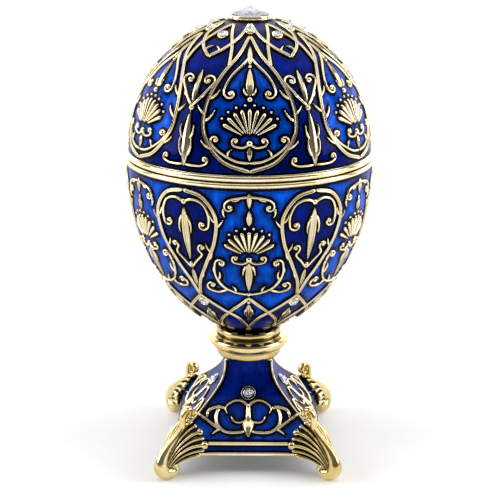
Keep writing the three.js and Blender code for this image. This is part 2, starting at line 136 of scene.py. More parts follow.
TABLE_RADIUS, TABLE_SIDES = 1.6, 64
table_mesh = bpy.data.meshes.new("table")
turns = np.linspace(0, 2 * np.pi, TABLE_SIDES, endpoint=False)
table_edge = [(TABLE_RADIUS * math.cos(a), TABLE_RADIUS * math.sin(a), 0) for a in turns]
table_mesh.from_pydata(table_edge, [], [list(range(TABLE_SIDES))])
table_mesh.materials.append(table_white)
table = bpy.data.objects.new("table", table_mesh)
bpy.context.scene.collection.objects.link(table)

# Lit white fabric: a backdrop bright enough to blow out, with a faint weave 2.5 mm apart.
lit_white, tree, shader = new_material("lit white fabric")
place = add(tree, "ShaderNodeTexCoord")
weave = add(tree, "ShaderNodeTexNoise", {"Vector": place.outputs["Object"], "Scale": every(2.5)})
tint = add(
    tree,
    "ShaderNodeValToRGB",
    {"Fac": weave.outputs["Fac"]},
    stops=[(0.3, grey(0.9)), (0.7, grey(0.94))],
)
tree.links.new(tint.outputs["Color"], shader.inputs["Base Color"])
shader.inputs["Roughness"].default_value = 1.0
shader.inputs["Emission Color"].default_value = (1, 1, 1, 1)
shader.inputs["Emission Strength"].default_value = 1.0

BACKDROP_AT, BACKDROP_BEND, BACKDROP_TOP, BACKDROP_HALF, BACKDROP_LIFT = 0.42, 0.12, 0.75, 1.3, 0.0005
bend = [
    (BACKDROP_AT + BACKDROP_BEND * math.sin(a), BACKDROP_BEND - BACKDROP_BEND * math.cos(a))
    for a in np.linspace(0, math.pi / 2, 9)
]
bend.append((BACKDROP_AT + BACKDROP_BEND, BACKDROP_TOP))
corners = [(x, y, z + BACKDROP_LIFT) for y, z in bend for x in (-BACKDROP_HALF, BACKDROP_HALF)]
strips = [(2 * i, 2 * i + 1, 2 * i + 3, 2 * i + 2) for i in range(len(bend) - 1)]
backdrop_mesh = bpy.data.meshes.new("backdrop")
backdrop_mesh.from_pydata(corners, [], strips)
backdrop_mesh.materials.append(lit_white)
backdrop = bpy.data.objects.new("backdrop", backdrop_mesh)
bpy.context.scene.collection.objects.link(backdrop)
backdrop.visible_diffuse = False

world = bpy.data.worlds.new("dim studio")
bpy.context.scene.world = world
world.use_nodes = True
world.node_tree.nodes.clear()
room = add(world.node_tree, "ShaderNodeBackground", {"Color": grey(0.16), "Strength": 1.0})
add(world.node_tree, "ShaderNodeOutputWorld", {"Surface": room.outputs["Background"]})

# Each lamp's name, place, the spot it is aimed at, width, height and power in watts.
LAMPS = [
    ("left_softbox", (-0.46, -0.06, 0.27), (0, 0, 0.07), 0.26, 0.36, 1.5),
    ("right_softbox", (0.46, -0.06, 0.27), (0, 0, 0.07), 0.26, 0.36, 1.5),
    ("overhead_softbox", (0, 0.1, 0.56), (0, 0.1, 0.0), 0.9, 0.8, 3.0),
]


def aim(spot, target):
    """The matrix of a thing at `spot` whose -Z looks at `target`."""
    way = (Matrix.Translation(target).translation - Matrix.Translation(spot).translation).normalized()
    return Matrix.Translation(spot) @ way.to_track_quat("-Z", "Y").to_matrix().to_4x4()


for name, spot, target, wide, high, power in LAMPS:
    lamp_data = bpy.data.lights.new(name, "AREA")
    lamp_data.shape = "RECTANGLE"
    lamp_data.size, lamp_data.size_y = wide, high
    lamp_data.energy = power
    lamp = bpy.data.objects.new(name, lamp_data)
    lamp.matrix_world = aim(spot, target)
    bpy.context.scene.collection.objects.link(lamp)

bpy.context.scene.view_settings.view_transform = "Standard"


# Gilt casting and its ornament
# The egg is cast in zinc alloy in two hollow halves, with the raised ornament part of the casting.
# Ornament, bands and collets are polished and gold plated; what lies between them is filled with enamel.
# The tone of the painted shade at the foot of the gold relief, where its shadow falls.
PAINTED_SHADE_TONE = "#140c02"


def polished_plate(name, deep, middle, light):
    """Polished plating: a mirror with a slight orange-peel waviness 1.5 mm apart and tones that change over 6
    mm, darkened by painted shade at the foot of the relief, where shadow falls, read from a point attribute."""
    material, tree, shader = new_material(name)
    place = add(tree, "ShaderNodeTexCoord")
    recess = add(tree, "ShaderNodeAttribute", attribute_name="recess")
    worn = add(
        tree,
        "ShaderNodeTexNoise",
        {"Vector": place.outputs["Object"], "Scale": every(6.25), "Detail": 3.0},
    )
    tone = add(
        tree,
        "ShaderNodeValToRGB",
        {"Fac": worn.outputs["Fac"]},
        stops=[(0.3, linear(deep)), (0.55, linear(middle)), (0.8, linear(light))],
    )
    # Painted shade: the plate darkens towards the shade tone at the foot of the relief.
    dark = add(
        tree,
        "ShaderNodeMapRange",
        {"Value": recess.outputs["Fac"], "From Min": 0.15, "From Max": 1.0, "To Max": 0.95},
    )
    colour = add(
        tree,
        "ShaderNodeMix",
        {0: dark.outputs["Result"], 6: tone.outputs["Color"], 7: linear(PAINTED_SHADE_TONE)},
        data_type="RGBA",
    )
    tree.links.new(colour.outputs[2], shader.inputs["Base Color"])
    shader.inputs["Metallic"].default_value = 1.0
    gloss = add(tree, "ShaderNodeMapRange", {"Value": worn.outputs["Fac"], "To Min": 0.10, "To Max": 0.24})
    tree.links.new(gloss.outputs["Result"], shader.inputs["Roughness"])
    peel = add(
        tree,
        "ShaderNodeTexNoise",
        {"Vector": place.outputs["Object"], "Scale": every(1.5385), "Detail": 2.0},
    )
    bump = add(
        tree, "ShaderNodeBump", {"Height": peel.outputs["Fac"], "Strength": 0.45, "Distance": 0.12 * MM}
    )
    tree.links.new(bump.outputs["Normal"], shader.inputs["Normal"])
    return material


# The gold on the egg's relief, its bands and the pedestal's lines is paler: the small highlights of the fine
# relief are painted into its colour, a painted highlight. The collar and the feet have the deeper, warmer
# gold.
highlit_gilt = polished_plate("polished gold plate", "#e0cb9a", "#f1e3c0", "#faf2dc")
deep_gilt = polished_plate("heavy gold plate", "#ceb26c", "#e8d498", "#f5e8c0")

# Foil behind the stones: vacuum-coated silver, nearly a mirror, pressed in a grain 0.7 mm apart, which is
# coarser than the real one so that it shows.
foil, tree, shader = new_material("silvered foil")
place = add(tree, "ShaderNodeTexCoord")
grain = add(tree, "ShaderNodeTexVoronoi", {"Vector": place.outputs["Object"], "Scale": every(0.7143)})
tone = add(
    tree,
    "ShaderNodeValToRGB",
    {"Fac": grain.outputs["Distance"]},
    stops=[(0.0, grey(0.75)), (1.0, grey(0.95))],
)
tree.links.new(tone.outputs["Color"], shader.inputs["Base Color"])
bump = add(
    tree, "ShaderNodeBump", {"Height": grain.outputs["Distance"], "Strength": 0.6, "Distance": 0.2 * MM}
)
tree.links.new(bump.outputs["Normal"], shader.inputs["Normal"])
shader.inputs["Metallic"].default_value = 1.0
shader.inputs["Roughness"].default_value = 0.12

# Enamel: blue glassy colour over brushed metal under a clear, fired gloss. Attribute "gold_distance", in mm,
# darkens it beside the gold: partly the deeper enamel that pools there, partly painted shadow of the relief.
# A light line where it climbs out of the pool is a painted highlight, its meniscus catching the light.
# "field" goes from the deep blue, 0, to the bright one, 1. It keeps strokes 2.4 mm apart of the brush that
# laid it.
POOL_AND_SHADE_REACH = 4.0
# Stops by share of the reach: nearly black to 0.2 mm, painted shadow of the relief; dark to 0.68 mm, pooled
# enamel and painted shade; the light line at 0.76 mm, a painted highlight; then the field's own blue.
BRIGHT_BLUE = [
    *[(0.05, "#000008"), (0.11, "#00082c"), (0.17, "#001a66"), (0.19, "#184eb8")],
    *[(0.21, "#00308e"), (0.4, "#004cc4"), (1.0, "#005cdc")],
]
DEEP_BLUE = [
    *[(0.05, "#000006"), (0.11, "#000424"), (0.17, "#000a46"), (0.19, "#0e2684")],
    *[(0.21, "#000e58"), (0.5, "#001674")],
]
enamel, tree, shader = new_material("transparent blue enamel")
place = add(tree, "ShaderNodeTexCoord")
edge = add(tree, "ShaderNodeAttribute", attribute_name="gold_distance")
field = add(tree, "ShaderNodeAttribute", attribute_name="field")
drawn = add(tree, "ShaderNodeMapping", {"Vector": place.outputs["Object"], "Scale": (1.0, 1.0, 0.35)})
streaks = add(
    tree,
    "ShaderNodeTexNoise",
    {
        "Vector": drawn.outputs["Vector"],
        "Scale": every(2.381),
        "Detail": 5.0,
        "Roughness": 0.6,
        "Distortion": 1.2,
    },
)
clouds = add(
    tree, "ShaderNodeTexNoise", {"Vector": place.outputs["Object"], "Scale": every(11.111), "Detail": 2.0}
)
wander = add(tree, "ShaderNodeMapRange", {"Value": streaks.outputs["Fac"], "To Min": -0.2, "To Max": 0.2})
soft_edge = add(
    tree, "ShaderNodeMath", {0: edge.outputs["Fac"], 1: wander.outputs["Result"]}, operation="ADD"
)
share = add(tree, "ShaderNodeMapRange", {"Value": soft_edge.outputs["Value"], "From Max": POOL_AND_SHADE_REACH})
bright, deep = [
    add(
        tree,
        "ShaderNodeValToRGB",
        {"Fac": share.outputs["Result"]},
        stops=[(position, linear(colour)) for position, colour in blue],
    )
    for blue in (BRIGHT_BLUE, DEEP_BLUE)
]
base = add(
    tree,
    "ShaderNodeMix",
    {0: field.outputs["Fac"], 6: deep.outputs["Color"], 7: bright.outputs["Color"]},
    data_type="RGBA",
)
shading, strokes = [
    add(
        tree,
        "ShaderNodeMapRange",
        {"Value": noise.outputs["Fac"], "From Min": 0.3, "From Max": 0.7, "To Min": low, "To Max": high},
    )
    for noise, low, high in ((clouds, 0.6, 1.3), (streaks, 0.5, 1.45))
]
both = add(
    tree, "ShaderNodeMath", {0: shading.outputs["Result"], 1: strokes.outputs["Result"]}, operation="MULTIPLY"
)
tinted = add(
    tree, "ShaderNodeVectorMath", {0: base.outputs[2], "Scale": both.outputs["Value"]}, operation="SCALE"
)
tree.links.new(tinted.outputs["Vector"], shader.inputs["Base Color"])
shader.inputs["Metallic"].default_value = 0.25
shader.inputs["Roughness"].default_value = 0.36
shader.inputs["Specular IOR Level"].default_value = 0.0
shader.inputs["Coat Weight"].default_value = 0.32
shader.inputs["Coat Roughness"].default_value = 0.03
shader.inputs["Coat IOR"].default_value = 1.2
under = add(
    tree, "ShaderNodeBump", {"Height": streaks.outputs["Fac"], "Strength": 0.5, "Distance": 0.12 * MM}
)
tree.links.new(under.outputs["Normal"], shader.inputs["Normal"])
wave = add(
    tree, "ShaderNodeTexNoise", {"Vector": place.outputs["Object"], "Scale": every(6.6667), "Detail": 1.0}
)
skin = add(tree, "ShaderNodeBump", {"Height": wave.outputs["Fac"], "Strength": 0.3, "Distance": 0.2 * MM})
tree.links.new(skin.outputs["Normal"], shader.inputs["Coat Normal"])

# The egg, in mm: where it starts, its length, half its width, and how pear-shaped and how full it is.
EGG_BOTTOM, EGG_LENGTH, EGG_RADIUS, EGG_SKEW, EGG_SWELL = 34.5, 83.0, 31.9, -0.0815, 0.0216
RELIEF, WALL, SEAM_Z = 0.6, 2.0, 82.1
# Its design repeats in six panels, mirrored in the middle of each. The front looks towards -Y, and the walls
# are drawn from a t of POLE beside each pole.
PANELS = 6
HALF_PANEL = math.pi / PANELS
FRONT = -math.pi / 2
POLE = 0.02


def egg_section(t, inset):
    """The egg's meridian, inset along its normal. t runs from 0 at the bottom pole to pi at the top:
    r = R sin t (1 + skew cos t + swell cos^2 t), z = bottom + length (1 - cos t) / 2. Returns r, z and the
    outward normal's two parts."""
    c, s = np.cos(t), np.sin(t)
    swell = 1 + EGG_SKEW * c + EGG_SWELL * c * c
    dr = EGG_RADIUS * (c * swell - s * s * (EGG_SKEW + 2 * EGG_SWELL * c))
    dz = EGG_LENGTH * s / 2
    size = np.maximum(np.hypot(dr, dz), 1e-9)
    out_r, out_z = dz / size, -dr / size
    z = EGG_BOTTOM + EGG_LENGTH * (1 - c) / 2 - out_z * inset
    return EGG_RADIUS * s * swell - out_r * inset, z, out_r, out_z


# The enamel's meridian as a fine table, with the length of arc from the seam, negative below it.
TURNS = np.linspace(1e-4, math.pi - 1e-4, 4001)
MERIDIAN_R, MERIDIAN_Z = egg_section(TURNS, RELIEF)[:2]
ARCS = np.concatenate([[0], np.cumsum(np.hypot(np.diff(MERIDIAN_R), np.diff(MERIDIAN_Z)))])
ARCS -= np.interp(SEAM_Z, MERIDIAN_Z, ARCS)


def turn_at_height(z):
    """The meridian's t at a height."""
    return float(np.interp(z, MERIDIAN_Z, TURNS))


def arc_at(t):
    """The length of arc from the seam at a t."""
    return np.interp(t, TURNS, ARCS)


def enamel_radius(arc):
    """The enamel's radius at a length of arc."""
    return np.interp(arc, ARCS, MERIDIAN_R)


def on_egg(across, arc, base=0.0):
    """Points and outward normals on the enamel: `across` is mm sideways from the meridian `base` half panels
    away from +X, and `arc` is mm up the meridian from the seam."""
    r, z, out_r, out_z = egg_section(np.interp(arc, ARCS, TURNS), RELIEF)
    angle = base * HALF_PANEL + across / r
    c, s = np.cos(angle), np.sin(angle)
    return np.stack([r * c, r * s, z], -1), np.stack([out_r * c, out_r * s, out_z], -1)


def spot_on(surface, across, up, base=0.0):
    """One point of a surface, with the outward normal there."""
    points, normals = surface(np.array([across]), np.array([up]), base)
    return points[0], normals[0]


def smooth(points, step):
    """A centripetal Catmull-Rom curve through the points, its knots the square root of the gaps apart,
    resampled to about equal steps."""
    points = np.asarray(points, float)
    padded = np.vstack([2 * points[0] - points[1], points, 2 * points[-1] - points[-2]])
    gaps = np.linalg.norm(np.diff(padded, axis=0), axis=1)
    knots = np.concatenate([[0], np.cumsum(gaps**0.5 + 1e-9)])
    fine = []
    for i in range(1, len(padded) - 2):
        t = np.linspace(knots[i], knots[i + 1], 17)[:, None]
        line, k = list(padded[i - 1 : i + 3]), knots[i - 1 : i + 3]
        for span in (1, 2):
            gap = [k[j + span] - k[j] for j in range(len(line) - 1)]
            line = [
                (k[j + span] - t) / gap[j] * line[j] + (t - k[j]) / gap[j] * line[j + 1]
                for j in range(len(gap))
            ]
        fine.append(((k[2] - t) * line[0] + (t - k[1]) * line[1]) / (k[2] - k[1]))
    fine = np.vstack(fine)
    fine = fine[np.concatenate([[True], np.linalg.norm(np.diff(fine, axis=0), axis=1) > 1e-7])]
    run = np.concatenate([[0], np.cumsum(np.linalg.norm(np.diff(fine, axis=0), axis=1))])
    spots = np.linspace(0, run[-1], max(4, int(round(run[-1] / step)) + 1))
    return np.stack([np.interp(spots, run, fine[:, i]) for i in range(fine.shape[1])], -1)


def volute(centre, radius, start, sweep_by, shrink=0.3):
    """Points about 40 degrees apart on a spiral about a centre: the radius falls evenly to `shrink` of itself
    over `sweep_by` degrees."""
    share = np.linspace(0, 1, max(4, int(abs(sweep_by) / 40) + 1))
    a = np.radians(start + sweep_by * share)
    r = radius * (1 - (1 - shrink) * share)
    return [(centre[0] + x, centre[1] + y) for x, y in zip(r * np.cos(a), r * np.sin(a))]


def section_of(*right):
    """A section across a strand as (across, out), from the left foot over the top to the right foot: the
    points from its middle outwards, and the same mirrored. A first point at across 0 is not doubled."""
    left = [(-x, y) for x, y in right[::-1] if x > 0]
    return np.array(left + list(right))


STRAP = section_of((0.4, 0.55), (0.76, 1.0), (0.97, 0.55), (1.0, -0.5))
WIRE = section_of((0.45, 0.95), (0.9, 0.4), (1.0, -0.5))
LEAF = section_of((0.0, 1.0), (0.22, 0.4), (0.62, 0.8), (0.93, 0.3), (1.0, -0.5))
BUD = section_of((0.0, 1.0), (0.45, 0.85), (0.85, 0.45), (1.0, -0.5))


def ring_quads(rings, around):
    """The quads between neighbouring rings of points, each ring closed on itself."""
    i, j = np.meshgrid(np.arange(rings - 1), np.arange(around), indexing="ij")
    low, high, k = i * around, (i + 1) * around, (j + 1) % around
    return np.stack([low + j, low + k, high + k, high + j], -1).reshape(-1, 4)


def tube(rings):
    """A closed surface through rings of points, listed upwards and anticlockwise, with flat ends."""
    n, m = rings.shape[:2]
    caps = np.stack([np.arange(m)[::-1], (n - 1) * m + np.arange(m)])
    return rings.reshape(-1, 3), [ring_quads(n, m), caps], np.zeros(n * m)


def sweep(points, normals, half, rise, section):
    """Carries a section along a path: a section point goes `half` times its first number along tangent x
    normal and `rise` times its second along the normal. Its painted shade, a contact shadow at the strand's
    foot, is 1 at the surface and below, and falls to 0 at the full rise."""
    tangent = np.gradient(points, axis=0)
    tangent /= np.linalg.norm(tangent, axis=1, keepdims=True)
    across = np.cross(tangent, normals)
    across /= np.linalg.norm(across, axis=1, keepdims=True)
    rings = (
        points[:, None]
        + across[:, None] * (half[:, None] * section[None, :, 0])[..., None]
        + normals[:, None] * (rise[:, None] * section[None, :, 1])[..., None]
    )
    swept, faces, _ = tube(rings)
    return swept, faces, np.tile(1 - np.clip(section[:, 1], 0, 1), len(rings))


def merge(pieces):
    """Several (points, faces, values) as one."""
    points, faces, values, start = [], [], [], 0
    for p, f, v in pieces:
        points.append(p)
        faces += [a + start for a in f]
        values.append(v)
        start += len(p)
    return np.vstack(points), faces, np.concatenate(values)


def turned_by(piece, angle, mirror=False):
    """A copy turned about Z, mirrored in the XZ plane first if asked."""
    points, faces, values = piece
    if mirror:
        points, faces = points * (1, -1, 1), [f[:, ::-1] for f in faces]
    c, s = math.cos(angle), math.sin(angle)
    x, y, z = points.T
    return np.stack([c * x - s * y, s * x + c * y, z], -1), faces, values


def lathe(profile, columns):
    """A surface turned about Z from a profile of (radius, height) that begins and ends on the axis, listed so
    that the outside lies to its left as it is walked from the lower end. Its columns start in front."""
    profile = np.asarray(profile, float)
    turn = FRONT + np.linspace(0, 2 * np.pi, columns, endpoint=False)
    r, z = profile[1:-1, :1], profile[1:-1, 1:]
    grid = np.stack([r * np.cos(turn), r * np.sin(turn), np.repeat(z, columns, 1)], -1)
    first = len(r) * columns
    here = np.arange(columns)
    after = (here + 1) % columns
    top = first - columns
    caps = np.vstack(
        [
            np.stack([np.full(columns, first), after, here], -1),
            np.stack([np.full(columns, first + 1), top + here, top + after], -1),
        ]
    )
    points = np.vstack([grid.reshape(-1, 3), [(0, 0, profile[0, 1]), (0, 0, profile[-1, 1])]])
    return points, [ring_quads(len(r), columns), caps], np.zeros(len(points))


def make_piece(name, piece, finishes, finish=None, shaded=True, values=None):
    """Puts (points in mm, faces, painted shade) into a new object; the painted shade darkens the plating
    where shadow falls. `finish` gives each face's material, and `values` are more attributes of its points."""
    points, faces, recess = piece
    mesh = bpy.data.meshes.new(name)
    mesh.from_pydata((points * MM).tolist(), [], [row for f in faces for row in f.tolist()])
    for material in finishes:
        mesh.materials.append(material)
    if finish is not None:
        mesh.polygons.foreach_set("material_index", np.asarray(finish, np.int32))
    mesh.polygons.foreach_set("use_smooth", np.full(len(mesh.polygons), shaded))
    for key, numbers in {"recess": recess, **(values or {})}.items():
        attribute = mesh.attributes.new(key, "FLOAT", "POINT")
        attribute.data.foreach_set("value", np.asarray(numbers, np.float32))
    mesh.update()
    made = bpy.data.objects.new(name, mesh)
    bpy.context.scene.collection.objects.link(made)
    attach(made, "root")
    return made


def new_strand(base, path, width, rise, section, once=False):
    """One strand of the ornament. Its path is (across, up) in mm from the meridian `base`, 0 in the panel's
    middle and 1 at its edge. Its width is the two widths at its ends, or one for a leaf, which swells. It is
    drawn in mirrored pairs unless it is drawn once."""
    return {"base": base, "path": path, "width": width, "rise": rise, "section": section, "once": once}


def at(share, arc):
    """A spot `share` of the half panel off its middle, in mm across."""
    return share * HALF_PANEL * float(enamel_radius(arc)), arc


def strap(points, start, end):
    """A main strap: points are (share of the half panel, arc), with its width at both ends."""
    return new_strand(0, [at(share, arc) for share, arc in points], (start, end), RELIEF, STRAP)


def wire(base, points, width=(0.68, 0.48), once=False, rise=0.52):
    """A rounded wire, a little thinner at its end."""
    return new_strand(base, points, width, rise, WIRE, once)


def leaf(base, root, tip, width):
    """A straight pointed leaf on the middle line."""
    middle = ((root[0] + tip[0]) / 2, (root[1] + tip[1]) / 2)
    return new_strand(base, [root, middle, tip], width, 0.62, LEAF, True)


def thorn(base, root, degrees, length, hook, width=0.85):
    """A hooked leaf that leaves its root at an angle from the meridian and turns by `hook` degrees on its
    way, in four equal lengths."""
    path = [root]
    for share in (0.125, 0.375, 0.625, 0.875):
        a = math.radians(degrees + hook * share)
        path.append((path[-1][0] + length / 4 * math.sin(a), path[-1][1] + length / 4 * math.cos(a)))
    return wire(base, path, (width, 0.16), rise=0.56)


SHELL_STEP, SHELL_RIM = 15.5, 0.45


def shell(root, length):
    """The nine fluted ribs of a shell, the middle one and four mirrored pairs, SHELL_STEP degrees apart."""
    ribs = []
    for i in range(5):
        a = math.radians(SHELL_STEP * i)
        start, end = 1.0 + 0.25 * i, length - SHELL_RIM
        reaches = (start, (start + end) / 2, end)
        spots = [(root[0] + r * math.sin(a), root[1] + r * math.cos(a)) for r in reaches]
        ribs.append(wire(0, spots, (0.3, 1.25), i == 0, 0.6))
    return ribs


def shell_beads(root, length, count):
    """Beads along a shell's rim, between its ribs."""
    turns = [math.radians(SHELL_STEP * (i + 0.5)) for i in range(count)]
    reach = length + SHELL_RIM
    spots = [(root[0] + reach * math.sin(a), root[1] + reach * math.cos(a)) for a in turns]
    return [(0, spot, 0.36, 0.42, False) for spot in spots]


def strand_mesh(strand, surface=on_egg, step=0.5):
    """The strand's closed mesh, with its middle line and half widths for the enamel to keep clear of. Between
    two widths it tapers evenly, and each end is rounded over two steps like a quarter circle. A leaf's width
    at a share s of its length is sin(pi s^0.8)^0.75 of the full one."""
    path = smooth(strand["path"], step)
    points, normals = surface(path[:, 0], path[:, 1], strand["base"])
    share = np.linspace(0, 1, len(path))
    if isinstance(strand["width"], tuple):
        start, end = strand["width"]
        from_end = np.minimum(np.minimum(share, 1 - share) * len(path) / 2, 1)
        rounded = np.sqrt(np.clip(1 - (1 - from_end) ** 2, 0.06, 1))
        half = (start + (end - start) * share) / 2 * np.maximum(rounded, 0.35)
        rise = strand["rise"] * np.maximum(rounded, 0.6)
    else:
        belly = np.sin(np.pi * share**0.8) ** 0.75
        half = strand["width"] / 2 * np.maximum(belly, 0.08)
        rise = strand["rise"] * np.maximum(belly, 0.3) ** 0.5
    return sweep(points, normals, half, rise, strand["section"]), points, half


def stand(piece, centre, normal):
    """Moves a piece made upright at the origin to a spot on a surface, its axis along the normal."""
    points, faces, values = piece
    side = np.cross((0.0, 0.0, 1.0) if abs(normal[2]) < 0.9 else (1.0, 0.0, 0.0), normal)
    side /= np.linalg.norm(side)
    up = np.cross(normal, side)
    return centre + points[:, :1] * side + points[:, 1:2] * up + points[:, 2:] * normal, faces, values


def dome(centre, normal, profile, radius, rise, sides):
    """A turned boss standing on a surface: profile is (share of radius, share of rise). Its painted shade, a
    contact shadow at its foot, falls from 1 at the surface to 0 at 0.55 of its rise."""
    points, faces, _ = lathe([(r * radius, z * rise) for r, z in profile], sides)
    return stand((points, faces, np.clip(1 - points[:, 2] / (0.55 * rise), 0, 1)), centre, normal)


BEAD = [(0, -0.3), (1, -0.3), (1, 0.05), (0.8, 0.6), (0.4, 0.93), (0, 1)]
COLLET = [
    *[(0, -0.6), (1, -0.6), (1, 0.35), (0.93, 0.8), (0.82, 1)],
    *[(0.74, 1), (0.68, 0.8), (0.66, 0.3), (0, 0.25)],
]
COLLET_RADIUS, COLLET_RISE = 1.45, 0.7
BEAD_SIDES, COLLET_SIDES = 12, 24


def ornament(strands, beads, stones):
    """All six panels of an ornament, with the middle lines that the enamel reads, in the half panel at +X.
    A bead is (base, spot, radius, rise, once), and a stone's collet is (base, arc)."""
    pairs, singles, lines, halves = [], [], [], []
    for base, arc in stones:
        centre, normal = spot_on(on_egg, 0.0, arc, base)
        singles.append(dome(centre, normal, COLLET, COLLET_RADIUS, COLLET_RISE, COLLET_SIDES))
        lines.append(centre[None])
        halves.append([COLLET_RADIUS])
    for strand in strands:
        mesh, line, half = strand_mesh(strand)
        (singles if strand["once"] else pairs).append(mesh)
        lines.append(line)
        halves.append(half)
    for base, (across, arc), radius, rise, once in beads:
        mesh = dome(*spot_on(on_egg, across, arc, base), BEAD, radius, rise, BEAD_SIDES)
        (singles if once else pairs).append(mesh)
        lines.append(mesh[0][-1:])
        halves.append([radius])
    whole = []
    for k in range(PANELS):
        turn = FRONT + 2 * HALF_PANEL * k
        whole += [turned_by(p, turn, mirror) for p in pairs for mirror in (False, True)]
        whole += [turned_by(p, turn) for p in singles]
    return merge(whole), np.vstack(lines), np.concatenate(halves)


def clearance(points, lines, halves, at_once=64):
    """How far each point lies from the nearest strand's edge, in mm: the distance to each spot of the middle
    lines less the half width there, worked out for a few spots at once. It is negative under a strand."""
    nearest = np.full(len(points), 99.0)
    for i in range(0, len(lines), at_once):
        gap = np.linalg.norm(points[:, None] - lines[None, i : i + at_once], axis=2)
        nearest = np.minimum(nearest, (gap - halves[i : i + at_once]).min(1))
    return nearest


def gold_distance(points, lines, halves):
    """The clearance in half a panel of the egg, from 0 up, with the strands mirrored in both of its sides."""
    c, s = math.cos(2 * HALF_PANEL), math.sin(2 * HALF_PANEL)
    x, y, z = lines.T
    past_edge = np.stack([c * x + s * y, s * x - c * y, z], -1)
    every_line = np.vstack([lines, lines * (1, -1, 1), past_edge])
    return np.maximum(clearance(points, every_line, np.tile(halves, 3)), 0)


def inside(x, y, loop):
    """Which points lie inside a closed loop: an odd number of its edges cross the ray towards +x."""
    loop = np.asarray(loop)
    count = np.zeros(x.shape, int)
    for (x0, y0), (x1, y1) in zip(loop, np.roll(loop, -1, axis=0)):
        crosses = (y0 > y) != (y1 > y)
        count += crosses & (x < x0 + (x1 - x0) * (y - y0) / (y1 - y0 + 1e-12))
    return count % 2 == 1


COLUMNS = 480
HALF_COLUMNS = COLUMNS // (2 * PANELS)
# Materials by their place in a piece's list: enamel, gold, and the piece's own third.
IN_ENAMEL, IN_GILT, IN_THIRD = 0, 1, 2


def enamel_values(profile, first, arcs, lines, halves, bright):
    """The attributes gold_distance and field for a turned profile whose enamelled rows begin with row
    `first`: worked out on half a panel and tiled round, and 0 elsewhere. The bright blue fills the loop
    `bright` of (share of the half panel, arc)."""
    angle, y = np.meshgrid(np.linspace(0, HALF_PANEL, HALF_COLUMNS + 1), arcs)
    points, _ = on_egg(angle * enamel_radius(y), y)
    distance = gold_distance(points.reshape(-1, 3), lines, halves).reshape(y.shape)
    # Beside the bands and the stone's ring, at the first and last rows, it darkens as beside the gold: pooled
    # enamel and painted shade.
    distance = np.minimum(distance, np.minimum(y - arcs[0], arcs[-1] - y))
    field = inside(angle / HALF_PANEL, y, bright)
    column = np.arange(COLUMNS) % (2 * HALF_COLUMNS)
    column = np.where(column > HALF_COLUMNS, 2 * HALF_COLUMNS - column, column)
    values = {}
    for key, half_panel in (("gold_distance", distance), ("field", field)):
        rows = np.zeros((len(profile) - 2, COLUMNS))
        rows[first : first + len(arcs)] = half_panel[:, column]
        values[key] = np.append(rows.ravel(), [0, 0])
    return values


# Lid
# Upper half of the egg: a hollow casting with a rolled gold band at its mouth and the large stone's collet
# on top. Straps make an almond in each panel under a star of pointed arches; fluted shells, scrolls and buds
# fill the fields.
GAP, LIP_RISE = 0.3, 2.6
LID_BAND, BAND_PROUD, BAND_STEP, BAND_POINTS = 1.5, 0.7, 0.1, 12
STONE_RING_RADIUS, STONE_RING_WALL, STONE_SEAT_Z, STONE_RING_TOP = 5.35, 0.35, 117.0, 117.65
RING_FOOT_Z = 116.2
LID_ROWS, LINING_ROWS = 106, 24
LID_BOTTOM = SEAM_Z + GAP / 2
LID_BAND_TOP = LID_BOTTOM + LID_BAND
MOUTH_TOP = SEAM_Z + LIP_RISE + GAP
MOUTH_RADIUS = float(egg_section(turn_at_height(MOUTH_TOP), RELIEF + WALL)[0])

LID_ALMOND = [(0, 2.6), (0.4, 5), (0.7, 11), (0.73, 17.5), (0.56, 25), (0.26, 31.5), (0, 38.2)]
LID_STAR = [(1, 30.5), (0.62, 34), (0.3, 38.6), (0, 44.6)]
LID_STAR_LOW = [(1, 44.2), (0.66, 38.8), (0.48, 33.6), (0.44, 27.6)]

lid_strands = [
    strap(LID_ALMOND, 0.9, 0.78),
    strap(LID_STAR, 0.78, 0.68),
    strap(LID_STAR_LOW, 0.68, 0.78),
    # shell on its knot of scrolls
    *shell((0, 10.2), 7.6),
    wire(0, [(0, 9.0), (1.6, 8.2), (3.1, 8.4)] + volute((3.2, 9.6), 1.1, -60, 260)),
    wire(
        0,
        [(0, 4.6), (2.8, 4.9), (5.4, 6.0), (7.6, 7.4)] + volute((8.1, 9.7), 1.35, -60, 290),
        (0.76, 0.5),
    ),
    thorn(0, (5.2, 6.0), 0, 2.2, -60),
    leaf(0, (0, 8.2), (0, 5.2), 1.3),
    # bud over the shell, finial, and the scrolls that hang from it
    leaf(0, (0, 20.4), (0, 27.6), 2.0),
    thorn(0, (0.5, 20.6), 60, 2.3, -70),
    leaf(0, (0, 28.6), (0, 34.4), 1.4),
    wire(
        0,
        [(0, 31.0), (1.7, 28.6), (4.2, 25.6), (5.9, 22.4)] + volute((4.6, 21.0), 1.5, 0, -290),
        (0.76, 0.5),
    ),
    # thorns on both sides of the straps
    thorn(0, at(0.72, 14.0), -62, 4.0, 40, 0.95),
    thorn(0, at(0.7, 19.4), -70, 3.8, 45, 0.95),
    thorn(0, at(0.73, 15.6), 62, 3.0, -45, 0.9),
    thorn(0, at(0.56, 7.7), 85, 3.6, -60, 0.9),
    thorn(1, at(-0.2, 32.2), 10, 2.6, 60),
    # lily and scrolls between the almonds
    leaf(1, (0, 3.2), (0, 16.2), 2.1),
    wire(1, [(-0.3, 3.5), (-2.4, 3.4), (-4.6, 3.5)] + volute((-5.2, 4.9), 1.25, -80, -270)),
    thorn(1, (-0.6, 5.4), -35, 5.2, 55, 0.95),
    thorn(1, (-0.9, 9.6), -40, 3.6, 55, 0.9),
    wire(1, [(0, 17.4), (-1.6, 19.2), (-3.0, 21.4)] + volute((-2.6, 23.9), 1.7, 190, -300), (0.76, 0.5)),
    thorn(1, (-1.8, 19.5), -70, 2.0, 70),
    leaf(1, (0, 18.4), (0, 26.8), 1.5),
]
